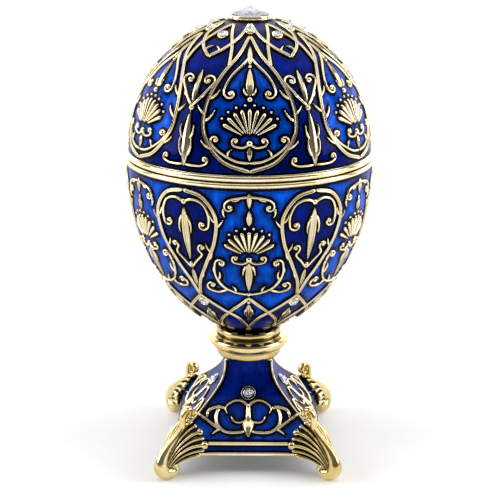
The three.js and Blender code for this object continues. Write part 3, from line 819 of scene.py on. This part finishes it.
lid_beads = [
    *shell_beads((0, 10.2), 7.6, 4),
    (0, (3.2, 9.6), 0.5, 0.6, False),
    (0, (8.1, 9.7), 0.6, 0.62, False),
    (0, (4.6, 21.0), 0.6, 0.62, False),
    (1, (-5.2, 4.9), 0.5, 0.58, False),
    (1, (-2.6, 23.9), 0.6, 0.6, False),
    (0, (0, 19.6), 0.7, 0.66, True),
    (0, (0, 9.2), 0.8, 0.7, True),
    (1, (0, 17.0), 0.75, 0.66, True),
    (0, (0, 28.2), 0.45, 0.5, True),
]
LID_STONES = [(0, 40.6), (1, 38.4)]
lid_relief, lid_lines, lid_halves = ornament(lid_strands, lid_beads, LID_STONES)


def rolled(low, high, radius, swell):
    """A band's rounded face from its lower to its upper edge, at BAND_POINTS angles a from -90 to 90 degrees:
    r = radius + swell cos(a)^0.7 and z = middle + half height sin(a)."""
    turn = np.linspace(-math.pi / 2, math.pi / 2, BAND_POINTS)
    return [
        (radius + swell * math.cos(a) ** 0.7, (low + high) / 2 + (high - low) / 2 * math.sin(a)) for a in turn
    ]


def lined(start, end):
    """The inside of the egg's wall between two t, as (radius, height)."""
    return list(zip(*egg_section(np.linspace(start, end, LINING_ROWS), RELIEF + WALL)[:2]))


lid_start = turn_at_height(LID_BAND_TOP)
lid_mouth = float(egg_section(lid_start, RELIEF)[0])
lid_arcs = np.linspace(arc_at(lid_start), arc_at(turn_at_height(RING_FOOT_Z)), LID_ROWS)
lid_lining = lined(math.pi - POLE, turn_at_height(MOUTH_TOP))
mouth = [
    (MOUTH_RADIUS, MOUTH_TOP - 0.4),
    (MOUTH_RADIUS, LID_BOTTOM + 0.25),
    (MOUTH_RADIUS + 0.25, LID_BOTTOM),
]
RING_INSIDE = STONE_RING_RADIUS - STONE_RING_WALL
stone_ring = [
    (STONE_RING_RADIUS - 0.02, STONE_RING_TOP - 0.85),
    (STONE_RING_RADIUS, STONE_RING_TOP - 0.78),
    (STONE_RING_RADIUS, STONE_RING_TOP - 0.12),
    (STONE_RING_RADIUS - 0.1, STONE_RING_TOP),
    (RING_INSIDE + 0.08, STONE_RING_TOP),
    (RING_INSIDE, STONE_RING_TOP - 0.1),
    (RING_INSIDE - 0.25, STONE_SEAT_Z),
    (2.0, STONE_SEAT_Z - 0.02),
    (0, STONE_SEAT_Z - 0.02),
]
lid_profile = (
    [(0, lid_lining[0][1])]
    + lid_lining
    + mouth
    + rolled(LID_BOTTOM, LID_BAND_TOP - BAND_STEP, lid_mouth + BAND_STEP, BAND_PROUD - BAND_STEP)
    + list(zip(*egg_section(np.interp(lid_arcs, ARCS, TURNS), RELIEF)[:2]))
    + stone_ring
)
# The enamel climbs the foot of the stone's ring, nearly black there: painted shade under the ring. Foil
# covers the stone's seat.
first_row = LINING_ROWS + len(mouth) + BAND_POINTS
strips = np.full(len(lid_profile) - 3, IN_GILT)
strips[first_row : first_row + LID_ROWS] = IN_ENAMEL
strips[-2:] = IN_THIRD
# The bright field is the almond, closed a little past the panel's middle.
PAST_MIDDLE = -0.05
almond = LID_ALMOND + [(PAST_MIDDLE, LID_ALMOND[-1][1]), (PAST_MIDDLE, LID_ALMOND[0][1])]
lid = make_piece(
    "egg_lid",
    lathe(lid_profile, COLUMNS),
    [enamel, highlit_gilt, foil],
    np.repeat(np.append(strips, [IN_GILT, IN_THIRD]), COLUMNS),
    values=enamel_values(lid_profile, first_row, lid_arcs, lid_lines, lid_halves, almond),
)
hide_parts("lid")
lid_ornament = make_piece("lid_ornament", lid_relief, [highlit_gilt])


# Bowl
# Lower half of the egg: a hollow casting with a gold band, a thin lip that fits inside the lid's mouth, and a
# flat foot screwed down on the collar. Teardrops hang between open fields over a star of arches and a ring
# of petals.
BOWL_BAND, LIP_DEPTH, LIP_WALL, BOWL_FOOT_Z = 1.3, 3.2, 1.5, 35.6
BOWL_ROWS = 134
BOWL_TOP = SEAM_Z - GAP / 2
BOWL_BAND_BOTTOM = BOWL_TOP - BOWL_BAND
BOWL_TEARDROP = [(1, -2.6), (0.7, -3.9), (0.5, -8.6), (0.53, -15), (0.72, -22), (0.9, -27.6), (1, -32.6)]
BOWL_STAR = [(1, -32.6), (0.62, -37.2), (0.28, -41), (0, -47)]
BOWL_STAR_HIGH = [(0, -32.4), (0.42, -38.2), (0.76, -43), (1, -49.4)]

bowl_strands = [
    strap(BOWL_TEARDROP, 0.88, 0.82),
    strap(BOWL_STAR, 0.82, 0.74),
    strap(BOWL_STAR_HIGH, 0.82, 0.74),
    # shell on its knot of scrolls, with a bud above and one below
    *shell((0, -19), 7.2),
    leaf(0, (0, -10.6), (0, -6.9), 1.5),
    wire(0, [(0, -20.3), (1.6, -21.1), (3.1, -20.9)] + volute((3.2, -19.7), 1.1, -60, 260)),
    leaf(0, (0, -21), (0, -30.0), 2.0),
    thorn(0, (0.5, -21.6), 140, 3.6, 50, 1.0),
    # scrolls rising on both sides of it
    wire(
        0,
        [(0, -31.2), (3.4, -30.4), (6.6, -28.2), (8.3, -24.8)] + volute((6.9, -21.4), 1.5, -10, 300),
        (0.84, 0.52),
    ),
    wire(0, [(5.0, -29.6), (7.2, -30.6)] + volute((9.0, -28.6), 1.8, -100, 290), (0.74, 0.5)),
    thorn(0, (7.6, -26.6), -35, 3.2, 60, 1.0),
    thorn(0, (8.3, -24.4), 35, 2.4, -60, 0.9),
    thorn(0, (3.2, -30.4), -10, 2.4, 60, 0.9),
    # scrolls under the band
    wire(0, [(0, -3.4), (2.4, -3.7), (4.6, -4.2)] + volute((4.7, -6.0), 1.5, 70, -290)),
    leaf(0, (0, -2.6), (0, -6.2), 1.3),
    thorn(0, (6.1, -6.4), 160, 2.4, 60, 0.85),
    thorn(0, (2.2, -3.7), 140, 2.2, -60, 0.85),
    # thorns on both sides of the straps
    thorn(0, at(0.5, -11.4), -62, 2.8, 45, 1.0),
    thorn(0, at(0.505, -10.2), 50, 2.8, -40, 1.0),
    thorn(0, at(0.6, -18.2), 50, 2.8, -40, 0.9),
    thorn(0, at(0.66, -20.6), -38, 3.2, 40, 0.9),
    thorn(0, at(0.86, -26.6), -30, 3.2, 40, 1.0),
    # teardrop
    leaf(1, (0, -7), (0, -21), 2.2),
    wire(
        1,
        [(0, -5.6), (-2.2, -4.8), (-5.0, -5.6), (-6.4, -8.4)] + volute((-4.8, -11.0), 1.6, 170, 290),
        (0.8, 0.52),
    ),
    wire(1, [(0, -23.6), (-1.7, -21.4), (-3.6, -19.2)] + volute((-3.9, -17.4), 1.3, -60, 280), (0.74, 0.5)),
    thorn(1, (-0.6, -9.0), 215, 5.0, -50, 0.95),
    leaf(1, (0, -24.0), (0, -29.6), 1.3),
    # star's fillings
    leaf(0, (0, -35.2), (0, -43.6), 1.8),
    thorn(0, (0.4, -37.0), 145, 3.0, 50, 0.9),
    leaf(1, (0, -38.2), (0, -46.2), 1.7),
    thorn(1, (-0.4, -39.4), 215, 2.8, -50, 0.85),
    # petals round the foot
    leaf(0, (0, -56.8), (0, -49.4), 2.2),
    leaf(1, (0, -56.8), (0, -50.8), 2.2),
]
bowl_beads = [
    *shell_beads((0, -19), 7.2, 3),
    (0, (3.2, -19.7), 0.5, 0.6, False),
    (0, (6.9, -21.4), 0.6, 0.62, False),
    (0, (9.0, -28.6), 0.6, 0.6, False),
    (0, (4.7, -6.0), 0.55, 0.6, False),
    (1, (-4.8, -11.0), 0.6, 0.62, False),
    (1, (-3.9, -17.4), 0.5, 0.58, False),
    (0, (0, -20.0), 0.8, 0.7, True),
    (0, (0, -31.2), 0.55, 0.62, True),
    (1, (0, -5.6), 0.75, 0.66, True),
    (1, (0, -22.4), 0.6, 0.62, True),
    (0, (0, -34.2), 0.5, 0.6, True),
]
BOWL_STONES = [(1, -35.2)]
bowl_relief, bowl_lines, bowl_halves = ornament(bowl_strands, bowl_beads, BOWL_STONES)

bowl_end = turn_at_height(BOWL_BAND_BOTTOM)
bowl_mouth = float(egg_section(bowl_end, RELIEF)[0])
bowl_arcs = np.linspace(arc_at(turn_at_height(BOWL_FOOT_Z + 0.02)), arc_at(bowl_end), BOWL_ROWS)
bowl_outside = list(zip(*egg_section(np.interp(bowl_arcs, ARCS, TURNS), RELIEF)[:2]))
bowl_lining = lined(turn_at_height(BOWL_TOP - LIP_DEPTH - LIP_WALL), POLE)
LIP_OUTER, LIP_TOP = MOUTH_RADIUS - GAP, BOWL_TOP + LIP_RISE
LIP_INNER = LIP_OUTER - LIP_WALL
lip = [
    (LIP_OUTER + 0.1, BOWL_TOP),
    (LIP_OUTER, BOWL_TOP + 0.1),
    (LIP_OUTER, LIP_TOP - 0.3),
    (LIP_OUTER - 0.3, LIP_TOP),
    (LIP_INNER + 0.3, LIP_TOP),
    (LIP_INNER, LIP_TOP - 0.3),
    (LIP_INNER, BOWL_TOP - LIP_DEPTH),
]
bowl_profile = (
    [(0, BOWL_FOOT_Z), (bowl_outside[0][0] - 0.3, BOWL_FOOT_Z)]
    + bowl_outside
    + rolled(BOWL_BAND_BOTTOM + BAND_STEP, BOWL_TOP, bowl_mouth + BAND_STEP, BAND_PROUD - BAND_STEP)
    + lip
    + bowl_lining
    + [(0, bowl_lining[-1][1])]
)
strips = np.full(len(bowl_profile) - 3, IN_GILT)
strips[1:BOWL_ROWS] = IN_ENAMEL
# The bright fields lie between the teardrops, down to the star.
open_field = (
    [(PAST_MIDDLE, -2), (0.999, -2)]
    + BOWL_TEARDROP[1:]
    + BOWL_STAR[1:]
    + [(PAST_MIDDLE, BOWL_STAR[-1][1])]
)
bowl = make_piece(
    "egg_bowl",
    lathe(bowl_profile, COLUMNS),
    [enamel, highlit_gilt],
    np.repeat(np.append(strips, [IN_GILT, IN_GILT]), COLUMNS),
    values=enamel_values(bowl_profile, 1, bowl_arcs, bowl_lines, bowl_halves, open_field),
)
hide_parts("bowl")
bowl_ornament = make_piece("bowl_ornament", bowl_relief, [highlit_gilt])


# Collar
# A turned ring between egg and pedestal: a fat polished torus over a short sleeve, with a bead under the egg.
# It is turned from bar, polished and gold plated like the castings.
SLEEVE = [(8.5, 27.6), (8.72, 28.0), (8.78, 28.6), (8.8, 29.1), (8.72, 29.35)]
TORUS = [
    *[(8.85, 29.5), (9.7, 29.95), (10.4, 30.6), (10.72, 31.5)],
    *[(10.6, 32.3), (9.9, 32.9), (8.9, 33.15), (8.2, 33.2)],
]
UPPER_BEAD = [(8.1, 33.35), (8.5, 33.6), (8.74, 34.15), (8.7, 34.8), (8.4, 35.25), (8.0, 35.4)]
COLLAR_COLUMNS, GROOVE_SHADE_RADIUS = 128, 8.95
collar_profile = np.vstack(
    [
        [(0, 27.45), (8.0, 27.45), (8.35, 27.5)],
        smooth(SLEEVE, 0.16),
        smooth(TORUS, 0.2),
        smooth(UPPER_BEAD, 0.16),
        [(5.6, 35.3), (0, 35.3)],
    ]
)
collar_points, collar_faces, _ = lathe(collar_profile, COLLAR_COLUMNS)
# Painted shade in the collar's grooves: points nearer the axis than 8.95 mm darken, up to 0.8.
groove_shade = np.clip((GROOVE_SHADE_RADIUS - np.hypot(collar_points[:, 0], collar_points[:, 1])) / 0.5, 0, 0.8)
collar = make_piece("turned_collar", (collar_points, collar_faces, groove_shade), [deep_gilt])
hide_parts("collar")


# Pedestal
# A square casting that flares to a plinth, enamelled on its four sides, with a gold line down each corner,
# two along the plinth, and open scrollwork with a bud and one set stone on every side.
NECK_HALF, FLARE_SLOPE, FLARE_Z, FLARE_SOFTNESS = 6.25, 1.04, 21.5, 1.6
NECK_TOP, PLINTH_TOP, PLINTH_BOTTOM, PLINTH_HALF = 27.15, 9.2, 5.3, 18.7
LINE, LINE_PROUD, CORNER = 0.9, 0.35, 0.3
SIDE_COLUMNS, SIDE_ROWS, PLINTH_ROWS, EDGE_SPOTS = 76, 52, 6, 60
SIDE_STONE_Z = 18.9


def half_width(z):
    """Half the square's side: neck + slope * softness * ln(1 + e^((flare height - z) / softness))."""
    return NECK_HALF + FLARE_SLOPE * FLARE_SOFTNESS * np.log1p(np.exp((FLARE_Z - z) / FLARE_SOFTNESS))


def on_side(across, up, base=0.0):
    """Points and outward normals on the side that faces +X, from mm sideways of its middle and height."""
    slope = (half_width(up - 0.05) - half_width(up + 0.05)) / 0.1
    normals = np.stack([np.ones_like(up), 0 * up, slope], -1)
    normals /= np.linalg.norm(normals, axis=1, keepdims=True)
    return np.stack([half_width(up), across, up], -1), normals


# The outline of one side as (half width, height): lower line, plinth, upper line and flare.
line_half = PLINTH_HALF + LINE_PROUD
plinth_heights = np.linspace(PLINTH_BOTTOM + LINE + 0.05, PLINTH_TOP - LINE - 0.05, PLINTH_ROWS)
side_heights = np.linspace(PLINTH_TOP + 0.05, NECK_TOP, SIDE_ROWS)
outline = (
    [(line_half - 0.12, PLINTH_BOTTOM), (line_half, PLINTH_BOTTOM + 0.15)]
    + [(line_half, PLINTH_BOTTOM + 0.7), (line_half - 0.1, PLINTH_BOTTOM + LINE)]
    + [(PLINTH_HALF, z) for z in plinth_heights]
    + [(line_half - 0.1, PLINTH_TOP - LINE), (line_half, PLINTH_TOP - 0.7)]
    + [(line_half, PLINTH_TOP - 0.15), (line_half - 0.12, PLINTH_TOP)]
    + list(zip(half_width(side_heights), side_heights))
)
# Each ring is a square with two points round each corner, made a quarter at a time.
half, z = np.array(outline).T[:, :, None]
flat, corner_turn = half - CORNER, np.array([math.pi / 6, math.pi / 3])
x = np.hstack([np.repeat(half, SIDE_COLUMNS, 1), flat + CORNER * np.cos(corner_turn)])
y = np.hstack([flat * np.linspace(-1, 1, SIDE_COLUMNS), flat + CORNER * np.sin(corner_turn)])
quarters = [
    np.stack([c * x - s * y, s * x + c * y, z + 0 * x], -1) for c, s in ((1, 0), (0, 1), (-1, 0), (0, -1))
]
pedestal_rings = np.hstack(quarters)
pedestal_body = tube(pedestal_rings)


def scroll(points, width, rise=0.5, once=False, section=WIRE):
    """A strand of the pedestal's scrollwork from (across, up) points."""
    return new_strand(0, points, width, rise, section, once)


INNER_C = [(0, 16.1), (-1.1, 17.0), (-2.6, 17.4), (-4.2, 17.1), (-5.6, 16.3), (-6.1, 15.6), (-5.5, 14.7)]
OUTER_C = [
    *[(-1.0, 11.25), (-3.4, 11.05), (-5.4, 11.15), (-6.7, 11.5)],
    *[(-7.7, 12.2), (-8.4, 13.2), (-8.45, 14.6), (-7.7, 15.8)],
]
side_strands = [
    scroll(INNER_C, (0.95, 0.3)),
    scroll(OUTER_C, (0.85, 1.05)),
    scroll([(-6.9, 11.9), (-8.2, 11.4), (-9.5, 10.7)], (0.9, 0.25)),
    scroll([(-13.1, 14.7), (-10.8, 13.5), (-9.2, 12.6), (-7.6, 11.8)], (1.0, 1.1)),
    scroll([(-10.9, 14.1), (-10.6, 15.2), (-9.2, 15.85), (-7.6, 16.1), (-6.2, 15.8)], (0.85, 1.0)),
    scroll([(-0.9, 13.25), (-2.2, 13.0), (-3.4, 13.1), (-4.1, 13.55), (-4.5, 14.3)], (0.8, 0.45)),
    # bud on its stem
    scroll([(0, 16.6), (0, 14.9), (0, 13.5)], (1.2, 1.7), once=True),
    scroll([(0, 14.2), (0, 12.2), (0, 10.2)], 3.1, 0.85, True, BUD),
    scroll([(-0.3, 13.7), (-0.95, 13.1), (-1.25, 12.2)], (0.5, 0.9), 0.7),
]
lines, halves, whole = [], [], []
for strand in side_strands:
    mesh, line, half = strand_mesh(strand, on_side, 0.3)
    lines.append(line * (1, -1, 1))
    halves.append(half)
    for k in range(4):
        mirrors = [False] if strand["once"] else [False, True]
        whole += [turned_by(mesh, FRONT + k * math.pi / 2, mirror) for mirror in mirrors]

# The side collets stand in a thin outer ring, 1.32 times their radius: a painted highlight, the bright line
# where the enamel meets the collet, made as a ring of plate.
HIGHLIGHT_RING_OUT, RINGED_SIDES = 1.32, 32
HIGHLIGHT_RINGED_COLLET = [
    *[(0, -0.6), (HIGHLIGHT_RING_OUT, -0.6), (HIGHLIGHT_RING_OUT, 0.5), (1.27, 0.64), (1.21, 0.5)],
    *[(1.19, -0.1), (0.92, -0.1), (0.92, 0.75), (0.88, 0.97), (0.8, 1)],
    *COLLET[5:],
]
side_spot = spot_on(on_side, 0.0, SIDE_STONE_Z)
highlight_ringed_collet = dome(*side_spot, HIGHLIGHT_RINGED_COLLET, COLLET_RADIUS, COLLET_RISE, RINGED_SIDES)
lines.append(side_spot[0][None])
halves.append([HIGHLIGHT_RING_OUT * COLLET_RADIUS])

# A gold line lies in each corner, sunk by 0.18 mm.
edge_z = np.linspace(PLINTH_TOP, NECK_TOP, EDGE_SPOTS)
edge_half = half_width(edge_z)
ones = np.ones(EDGE_SPOTS)
edge_normal = np.stack([ones, ones, -np.gradient(edge_half, edge_z)], -1)
edge_normal /= np.linalg.norm(edge_normal, axis=1, keepdims=True)
edge_points = np.stack([edge_half - 0.18, edge_half - 0.18, edge_z], -1)
edge_line = sweep(edge_points, edge_normal, 0.27 * ones, 0.3 * ones, WIRE)
whole += [turned_by(edge_line, k * math.pi / 2) for k in range(4)]

# The enamel reads its distance to the gold on half a side, and is a little brighter low on the flare.
body_points = pedestal_body[0]
height = body_points[:, 2]
near, far = np.sort(np.abs(body_points[:, :2]), axis=1).T
on_plinth = height < PLINTH_TOP
to_scrolls = clearance(np.stack([far, near, height], -1), np.vstack(lines), np.concatenate(halves))
to_lines = np.minimum(far - near - 0.5, np.abs(height - PLINTH_TOP))
on_band = np.minimum(height - PLINTH_BOTTOM - LINE, PLINTH_TOP - LINE - height)
distance = np.where(on_plinth, on_band, np.minimum(to_scrolls, to_lines))
brightness = np.where(on_plinth, 0.2, np.clip((19.5 - height) / 12, 0.05, 0.5))

# Zinc alloy as it leaves the mould under the pedestal: dull dark grey, with a grain 1.1 mm apart, drawn
# coarser than the real one so that it shows.
zinc, tree, shader = new_material("zinc alloy as cast")
place = add(tree, "ShaderNodeTexCoord")
grain = add(
    tree, "ShaderNodeTexNoise", {"Vector": place.outputs["Object"], "Scale": every(1.1111), "Detail": 4.0}
)
tone = add(
    tree,
    "ShaderNodeValToRGB",
    {"Fac": grain.outputs["Fac"]},
    stops=[(0.3, linear("#2e2c28")), (0.7, linear("#4a4842"))],
)
tree.links.new(tone.outputs["Color"], shader.inputs["Base Color"])
shader.inputs["Metallic"].default_value = 1.0
shader.inputs["Roughness"].default_value = 0.6
bump = add(tree, "ShaderNodeBump", {"Height": grain.outputs["Fac"], "Strength": 0.5, "Distance": 0.1 * MM})
tree.links.new(bump.outputs["Normal"], shader.inputs["Normal"])

row_z = np.array([z for _, z in outline])
row_mid = (row_z[:-1] + row_z[1:]) / 2
is_lower_line = row_mid < PLINTH_BOTTOM + LINE
is_upper_line = (row_mid > PLINTH_TOP - LINE - 0.04) & (row_mid < PLINTH_TOP + 0.04)
strips = np.where(is_lower_line | is_upper_line, IN_GILT, IN_ENAMEL)
pedestal = make_piece(
    "pedestal_body",
    pedestal_body,
    [enamel, highlit_gilt, zinc],
    np.append(np.repeat(strips, pedestal_rings.shape[1]), [IN_THIRD, IN_GILT]),
    values={"gold_distance": np.maximum(distance, 0), "field": brightness},
)
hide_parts("pedestal")
pedestal_ornament = make_piece("pedestal_ornament", merge(whole), [highlit_gilt])
# The collets on the sides are plated silver white beside the gold; their thin outer ring, a painted
# highlight, shows bright in it.
silver = polished_plate("polished silver plate", "#c6c8cc", "#e4e5e8", "#fafafc")
collets = merge([turned_by(highlight_ringed_collet, FRONT + k * math.pi / 2) for k in range(4)])
pedestal_collets = make_piece("pedestal_collets", collets, [silver])


# Feet
# Four cast leaf scrolls on the plinth's corners: a smooth thick spine that rolls into a volute on the table,
# a fan of ribs from the toe to the plinth on both hands of it, and a small scroll standing free on top. They
# are gold plated, in the deeper gold without painted highlight.
SPINE = [
    *[(23.0, 13.4, 0.9, 0.8), (23.4, 12.9, 0.95, 1.0), (24.2, 12.0, 0.95, 1.15)],
    *[(26.2, 10.4, 0.95, 1.25), (29.0, 8.4, 1.05, 1.4), (31.1, 6.2, 1.35, 1.6)],
    *[(31.9, 4.0, 1.8, 1.8), (31.2, 2.4, 2.25, 1.85), (29.8, 1.8, 2.55, 1.74)],
    *[(28.6, 2.2, 2.7, 1.3), (28.2, 3.2, 2.75, 1.0), (28.8, 4.0, 2.75, 0.8), (29.7, 3.9, 2.75, 0.6)],
]
TOP_SCROLL = [
    *[(24.2, 12.0, 1.0, 0.9), (24.3, 13.7, 0.95, 0.8), (24.2, 15.3, 0.95, 0.72)],
    *[(23.7, 16.6, 1.0, 0.66), (22.6, 17.3, 1.05, 0.62), (21.4, 16.9, 1.1, 0.58)],
    *[(21.0, 15.8, 1.15, 0.52), (21.5, 14.9, 1.15, 0.46), (22.4, 15.0, 1.2, 0.42)],
    *[(22.8, 15.8, 1.2, 0.38), (22.3, 16.2, 1.2, 0.34)],
]
ROUND = np.array([(math.cos(a), math.sin(a)) for a in np.linspace(math.pi * 1.5, -math.pi * 0.5, 21)[:-1]])
ROUND = np.sign(ROUND) * np.abs(ROUND) ** 0.85


def in_diagonal(spots, step):
    """Sweeps a rounded bar along a curve in the XZ plane: spots are (reach, height, half width to the sides,
    half depth within the plane)."""
    fine = smooth(spots, step)
    path = np.stack([fine[:, 0], 0 * fine[:, 0], fine[:, 1]], -1)
    normals = np.cross(np.gradient(path, axis=0), (0.0, 1.0, 0.0))
    normals /= np.linalg.norm(normals, axis=1, keepdims=True)
    points, faces, recess = sweep(path, normals, fine[:, 2], fine[:, 3], ROUND)
    return points, faces, 0 * recess


# Each rib runs from its root by its bow to its tip, as (along the side, away from the axis, height), and
# ends in a round lobe.
RIB_TIPS = [
    *[(15.2, 16.0, 13.4), (13.8, 17.0, 12.8), (12.6, 18.0, 11.6), (11.9, 19.2, 10.3)],
    *[(11.3, 20.1, 8.9), (11.9, 20.2, 7.5), (12.9, 20.2, 6.1)],
]
RIB_BOWS = [
    *[(18.3, 19.3, 12.0), (17.8, 19.9, 11.7), (17.5, 20.6, 11.1), (17.3, 21.2, 10.3)],
    *[(17.2, 21.6, 9.4), (17.3, 21.9, 7.6), (17.6, 21.9, 5.8)],
]
RIB_ROOTS = [
    *[(21.2, 21.9, 4.9), (21.1, 22.1, 4.6), (20.9, 22.3, 4.3), (20.7, 22.5, 4.0)],
    *[(20.5, 22.6, 3.7), (20.2, 22.6, 3.5), (19.9, 22.5, 3.3)],
]
RIB_LOBES = [0.8, 0.6, 1.1, 0.6, 1.2, 0.65, 0.95]
RIDGE = section_of((0.4, 0.95), (0.85, 0.25), (1.2, -1.6))
LOBE = [(0, -0.8), (0.8, -0.6), (1, 0), (0.9, 0.5), (0.5, 0.9), (0, 1)]
RIB_SPOTS, LOBE_SIDES = 40, 16


def to_corner(spots):
    """From (along the side, away from the axis, height) to the frame in which the foot's diagonal is +X."""
    along, away, up = np.moveaxis(spots, -1, 0)
    return np.stack([(along + away) / math.sqrt(2), (away - along) / math.sqrt(2), up], -1)


# A rib's line is (1 - t)^2 root + 2 t (1 - t) bow + t^2 tip.
share = np.linspace(0, 1, RIB_SPOTS)
t = share[:, None]
root, bow, tip = [np.array(spots)[:, None] for spots in (RIB_ROOTS, RIB_BOWS, RIB_TIPS)]
rib_lines = to_corner((1 - t) ** 2 * root + 2 * t * (1 - t) * bow + t * t * tip)
rib_normals = np.cross(np.gradient(rib_lines, axis=0), np.gradient(rib_lines, axis=1))
rib_normals /= np.linalg.norm(rib_normals, axis=2, keepdims=True)
half, rise = 0.14 + 0.46 * share**1.1, 0.25 + 0.4 * share
side_pieces = []
for line, normals, lobe in zip(rib_lines, rib_normals, RIB_LOBES):
    side_pieces.append(sweep(line, normals, half * (0.3 + 0.7 * lobe), rise * (0.5 + 0.5 * lobe), RIDGE))
    side_pieces.append(dome(line[-1], normals[-1], LOBE, lobe * 0.88, lobe * 0.72, LOBE_SIDES))

# The web behind the ribs is a sheet through their lines, 1.5 mm deep and closed along its rim. It carries
# painted shade of 0.95, nearly black: the shadow that falls between the ribs.
web_top = rib_lines - rib_normals * (0.1 + 0.6 * share)[None, :, None]
web_low = rib_lines - rib_normals * 1.5
index = np.arange(web_top[..., 0].size).reshape(web_top.shape[:2])
sheet = np.stack([index[:-1, :-1], index[1:, :-1], index[1:, 1:], index[:-1, 1:]], -1).reshape(-1, 4)
rim = np.concatenate([index[:, 0], index[-1, 1:], index[-2::-1, -1], index[0, -2:0:-1]])
after = np.roll(rim, -1)
web_faces = [
    sheet,
    sheet[:, ::-1] + index.size,
    np.stack([after, rim, rim + index.size, after + index.size], -1),
]
web_points = np.vstack([web_top.reshape(-1, 3), web_low.reshape(-1, 3)])
side_pieces.append((web_points, web_faces, np.full(len(web_points), 0.95)))

foot_pieces = [in_diagonal(SPINE, 0.4), in_diagonal(TOP_SCROLL, 0.3)]
for piece in side_pieces:
    foot_pieces += [piece, turned_by(piece, 0, mirror=True)]
one_foot = merge(foot_pieces)
for k, corner in enumerate(["front_left", "front_right", "back_right", "back_left"]):
    placed = turned_by(one_foot, -3 * math.pi / 4 + k * math.pi / 2)
    foot = make_piece("leaf_foot_" + corner, placed, [deep_gilt])
    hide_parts("foot_" + corner)


# Stones
# Machine-cut lead crystal, clear and colourless, foiled behind: about 2 mm in the small collets and about
# 10 mm in the ring on top. The small ones have a flat table; the large one rises in four rows of facets
# almost to a point.
CRYSTAL_IOR = 1.56


def lead_crystal(name, tint):
    """Clear glass with a faint haze on its facets, 1.1 mm apart. The tint darkens the light that passes
    through the glass and back from its foil: a faint blue-grey in the small stones, and in the large one a
    painted shade that dims the foil's reflection of the lamps."""
    material, tree, shader = new_material(name)
    place = add(tree, "ShaderNodeTexCoord")
    haze = add(
        tree,
        "ShaderNodeTexNoise",
        {"Vector": place.outputs["Object"], "Scale": every(1.1111), "Detail": 1.0},
    )
    gloss = add(tree, "ShaderNodeMapRange", {"Value": haze.outputs["Fac"], "To Min": 0.0, "To Max": 0.03})
    tree.links.new(gloss.outputs["Result"], shader.inputs["Roughness"])
    shader.inputs["Base Color"].default_value = tint
    shader.inputs["Transmission Weight"].default_value = 1.0
    shader.inputs["IOR"].default_value = CRYSTAL_IOR
    return material


crystal = lead_crystal("cut lead crystal", (0.78, 0.81, 0.87, 1))
# The large stone's glass is darkened to 0.42: painted shade, dimming the foil's reflection of the lamps
# behind it.
shaded_thick_crystal = lead_crystal("thick cut lead crystal", (0.42, 0.44, 0.5, 1))
IN_CRYSTAL, ON_FOIL = 0, 1


def cut_stone(radius, rows, sides):
    """A closed solid of flat facets, upwards: rows are (share of radius, height, twist in half steps)."""
    reach, z, twist = np.array(rows, float).T[:, :, None]
    turn = np.linspace(0, 2 * np.pi, sides, endpoint=False) + twist * math.pi / sides
    reach = reach * radius
    return tube(np.stack([reach * np.cos(turn), reach * np.sin(turn), z + 0 * turn], -1))


SMALL_CUT, SMALL_SIDES = [(0.25, 0.28, 0), (0.98, 0.72, 0), (0.98, 0.82, 0), (0.58, 1.2, 1)], 8


def set_stone(name, node, centre, normal, angle):
    """One small stone in its collet, with foil on its lower facets and its back."""
    cut = stand(cut_stone(1.0, SMALL_CUT, SMALL_SIDES), centre, normal)
    facets = np.repeat([ON_FOIL, IN_CRYSTAL, IN_CRYSTAL], SMALL_SIDES)
    finish = np.append(facets, [ON_FOIL, IN_CRYSTAL])
    made = make_piece(name, turned_by(cut, angle), [crystal, foil], finish, shaded=False)
    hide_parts(node)


for part, spots in (("lid", LID_STONES), ("bowl", BOWL_STONES)):
    for k in range(PANELS):
        for j, (base, arc) in enumerate(spots):
            ending = f"stone_{k * len(spots) + j + 1}"
            spot = spot_on(on_egg, 0.0, arc, base)
            set_stone(f"{part}_cut_{ending}", f"{part}_{ending}", *spot, FRONT + 2 * HALF_PANEL * k)
for k, side in enumerate(["front", "right", "back", "left"]):
    set_stone("pedestal_cut_stone_" + side, "pedestal_stone_" + side, *side_spot, FRONT + k * math.pi / 2)

TOTAL_HEIGHT, TOP_SIDES = 120.0, 16
TOP_CUT = [
    *[(0.12, 117.04, 0), (0.55, 117.14, 1), (0.93, STONE_RING_TOP - 0.1, 0), (1.0, 117.8, 0)],
    *[(1.0, 118.0, 0), (0.8, 118.5, 1), (0.54, 119.02, 0), (0.28, 119.52, 1), (0.05, TOTAL_HEIGHT, 0)],
]
facets = np.repeat([ON_FOIL, ON_FOIL] + [IN_CRYSTAL] * (len(TOP_CUT) - 3), TOP_SIDES)
top_stone = make_piece(
    "top_cut_stone",
    cut_stone(RING_INSIDE, TOP_CUT, TOP_SIDES),
    [shaded_thick_crystal, foil],
    np.append(facets, [ON_FOIL, IN_CRYSTAL]),
    shaded=False,
)
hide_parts("top_stone")
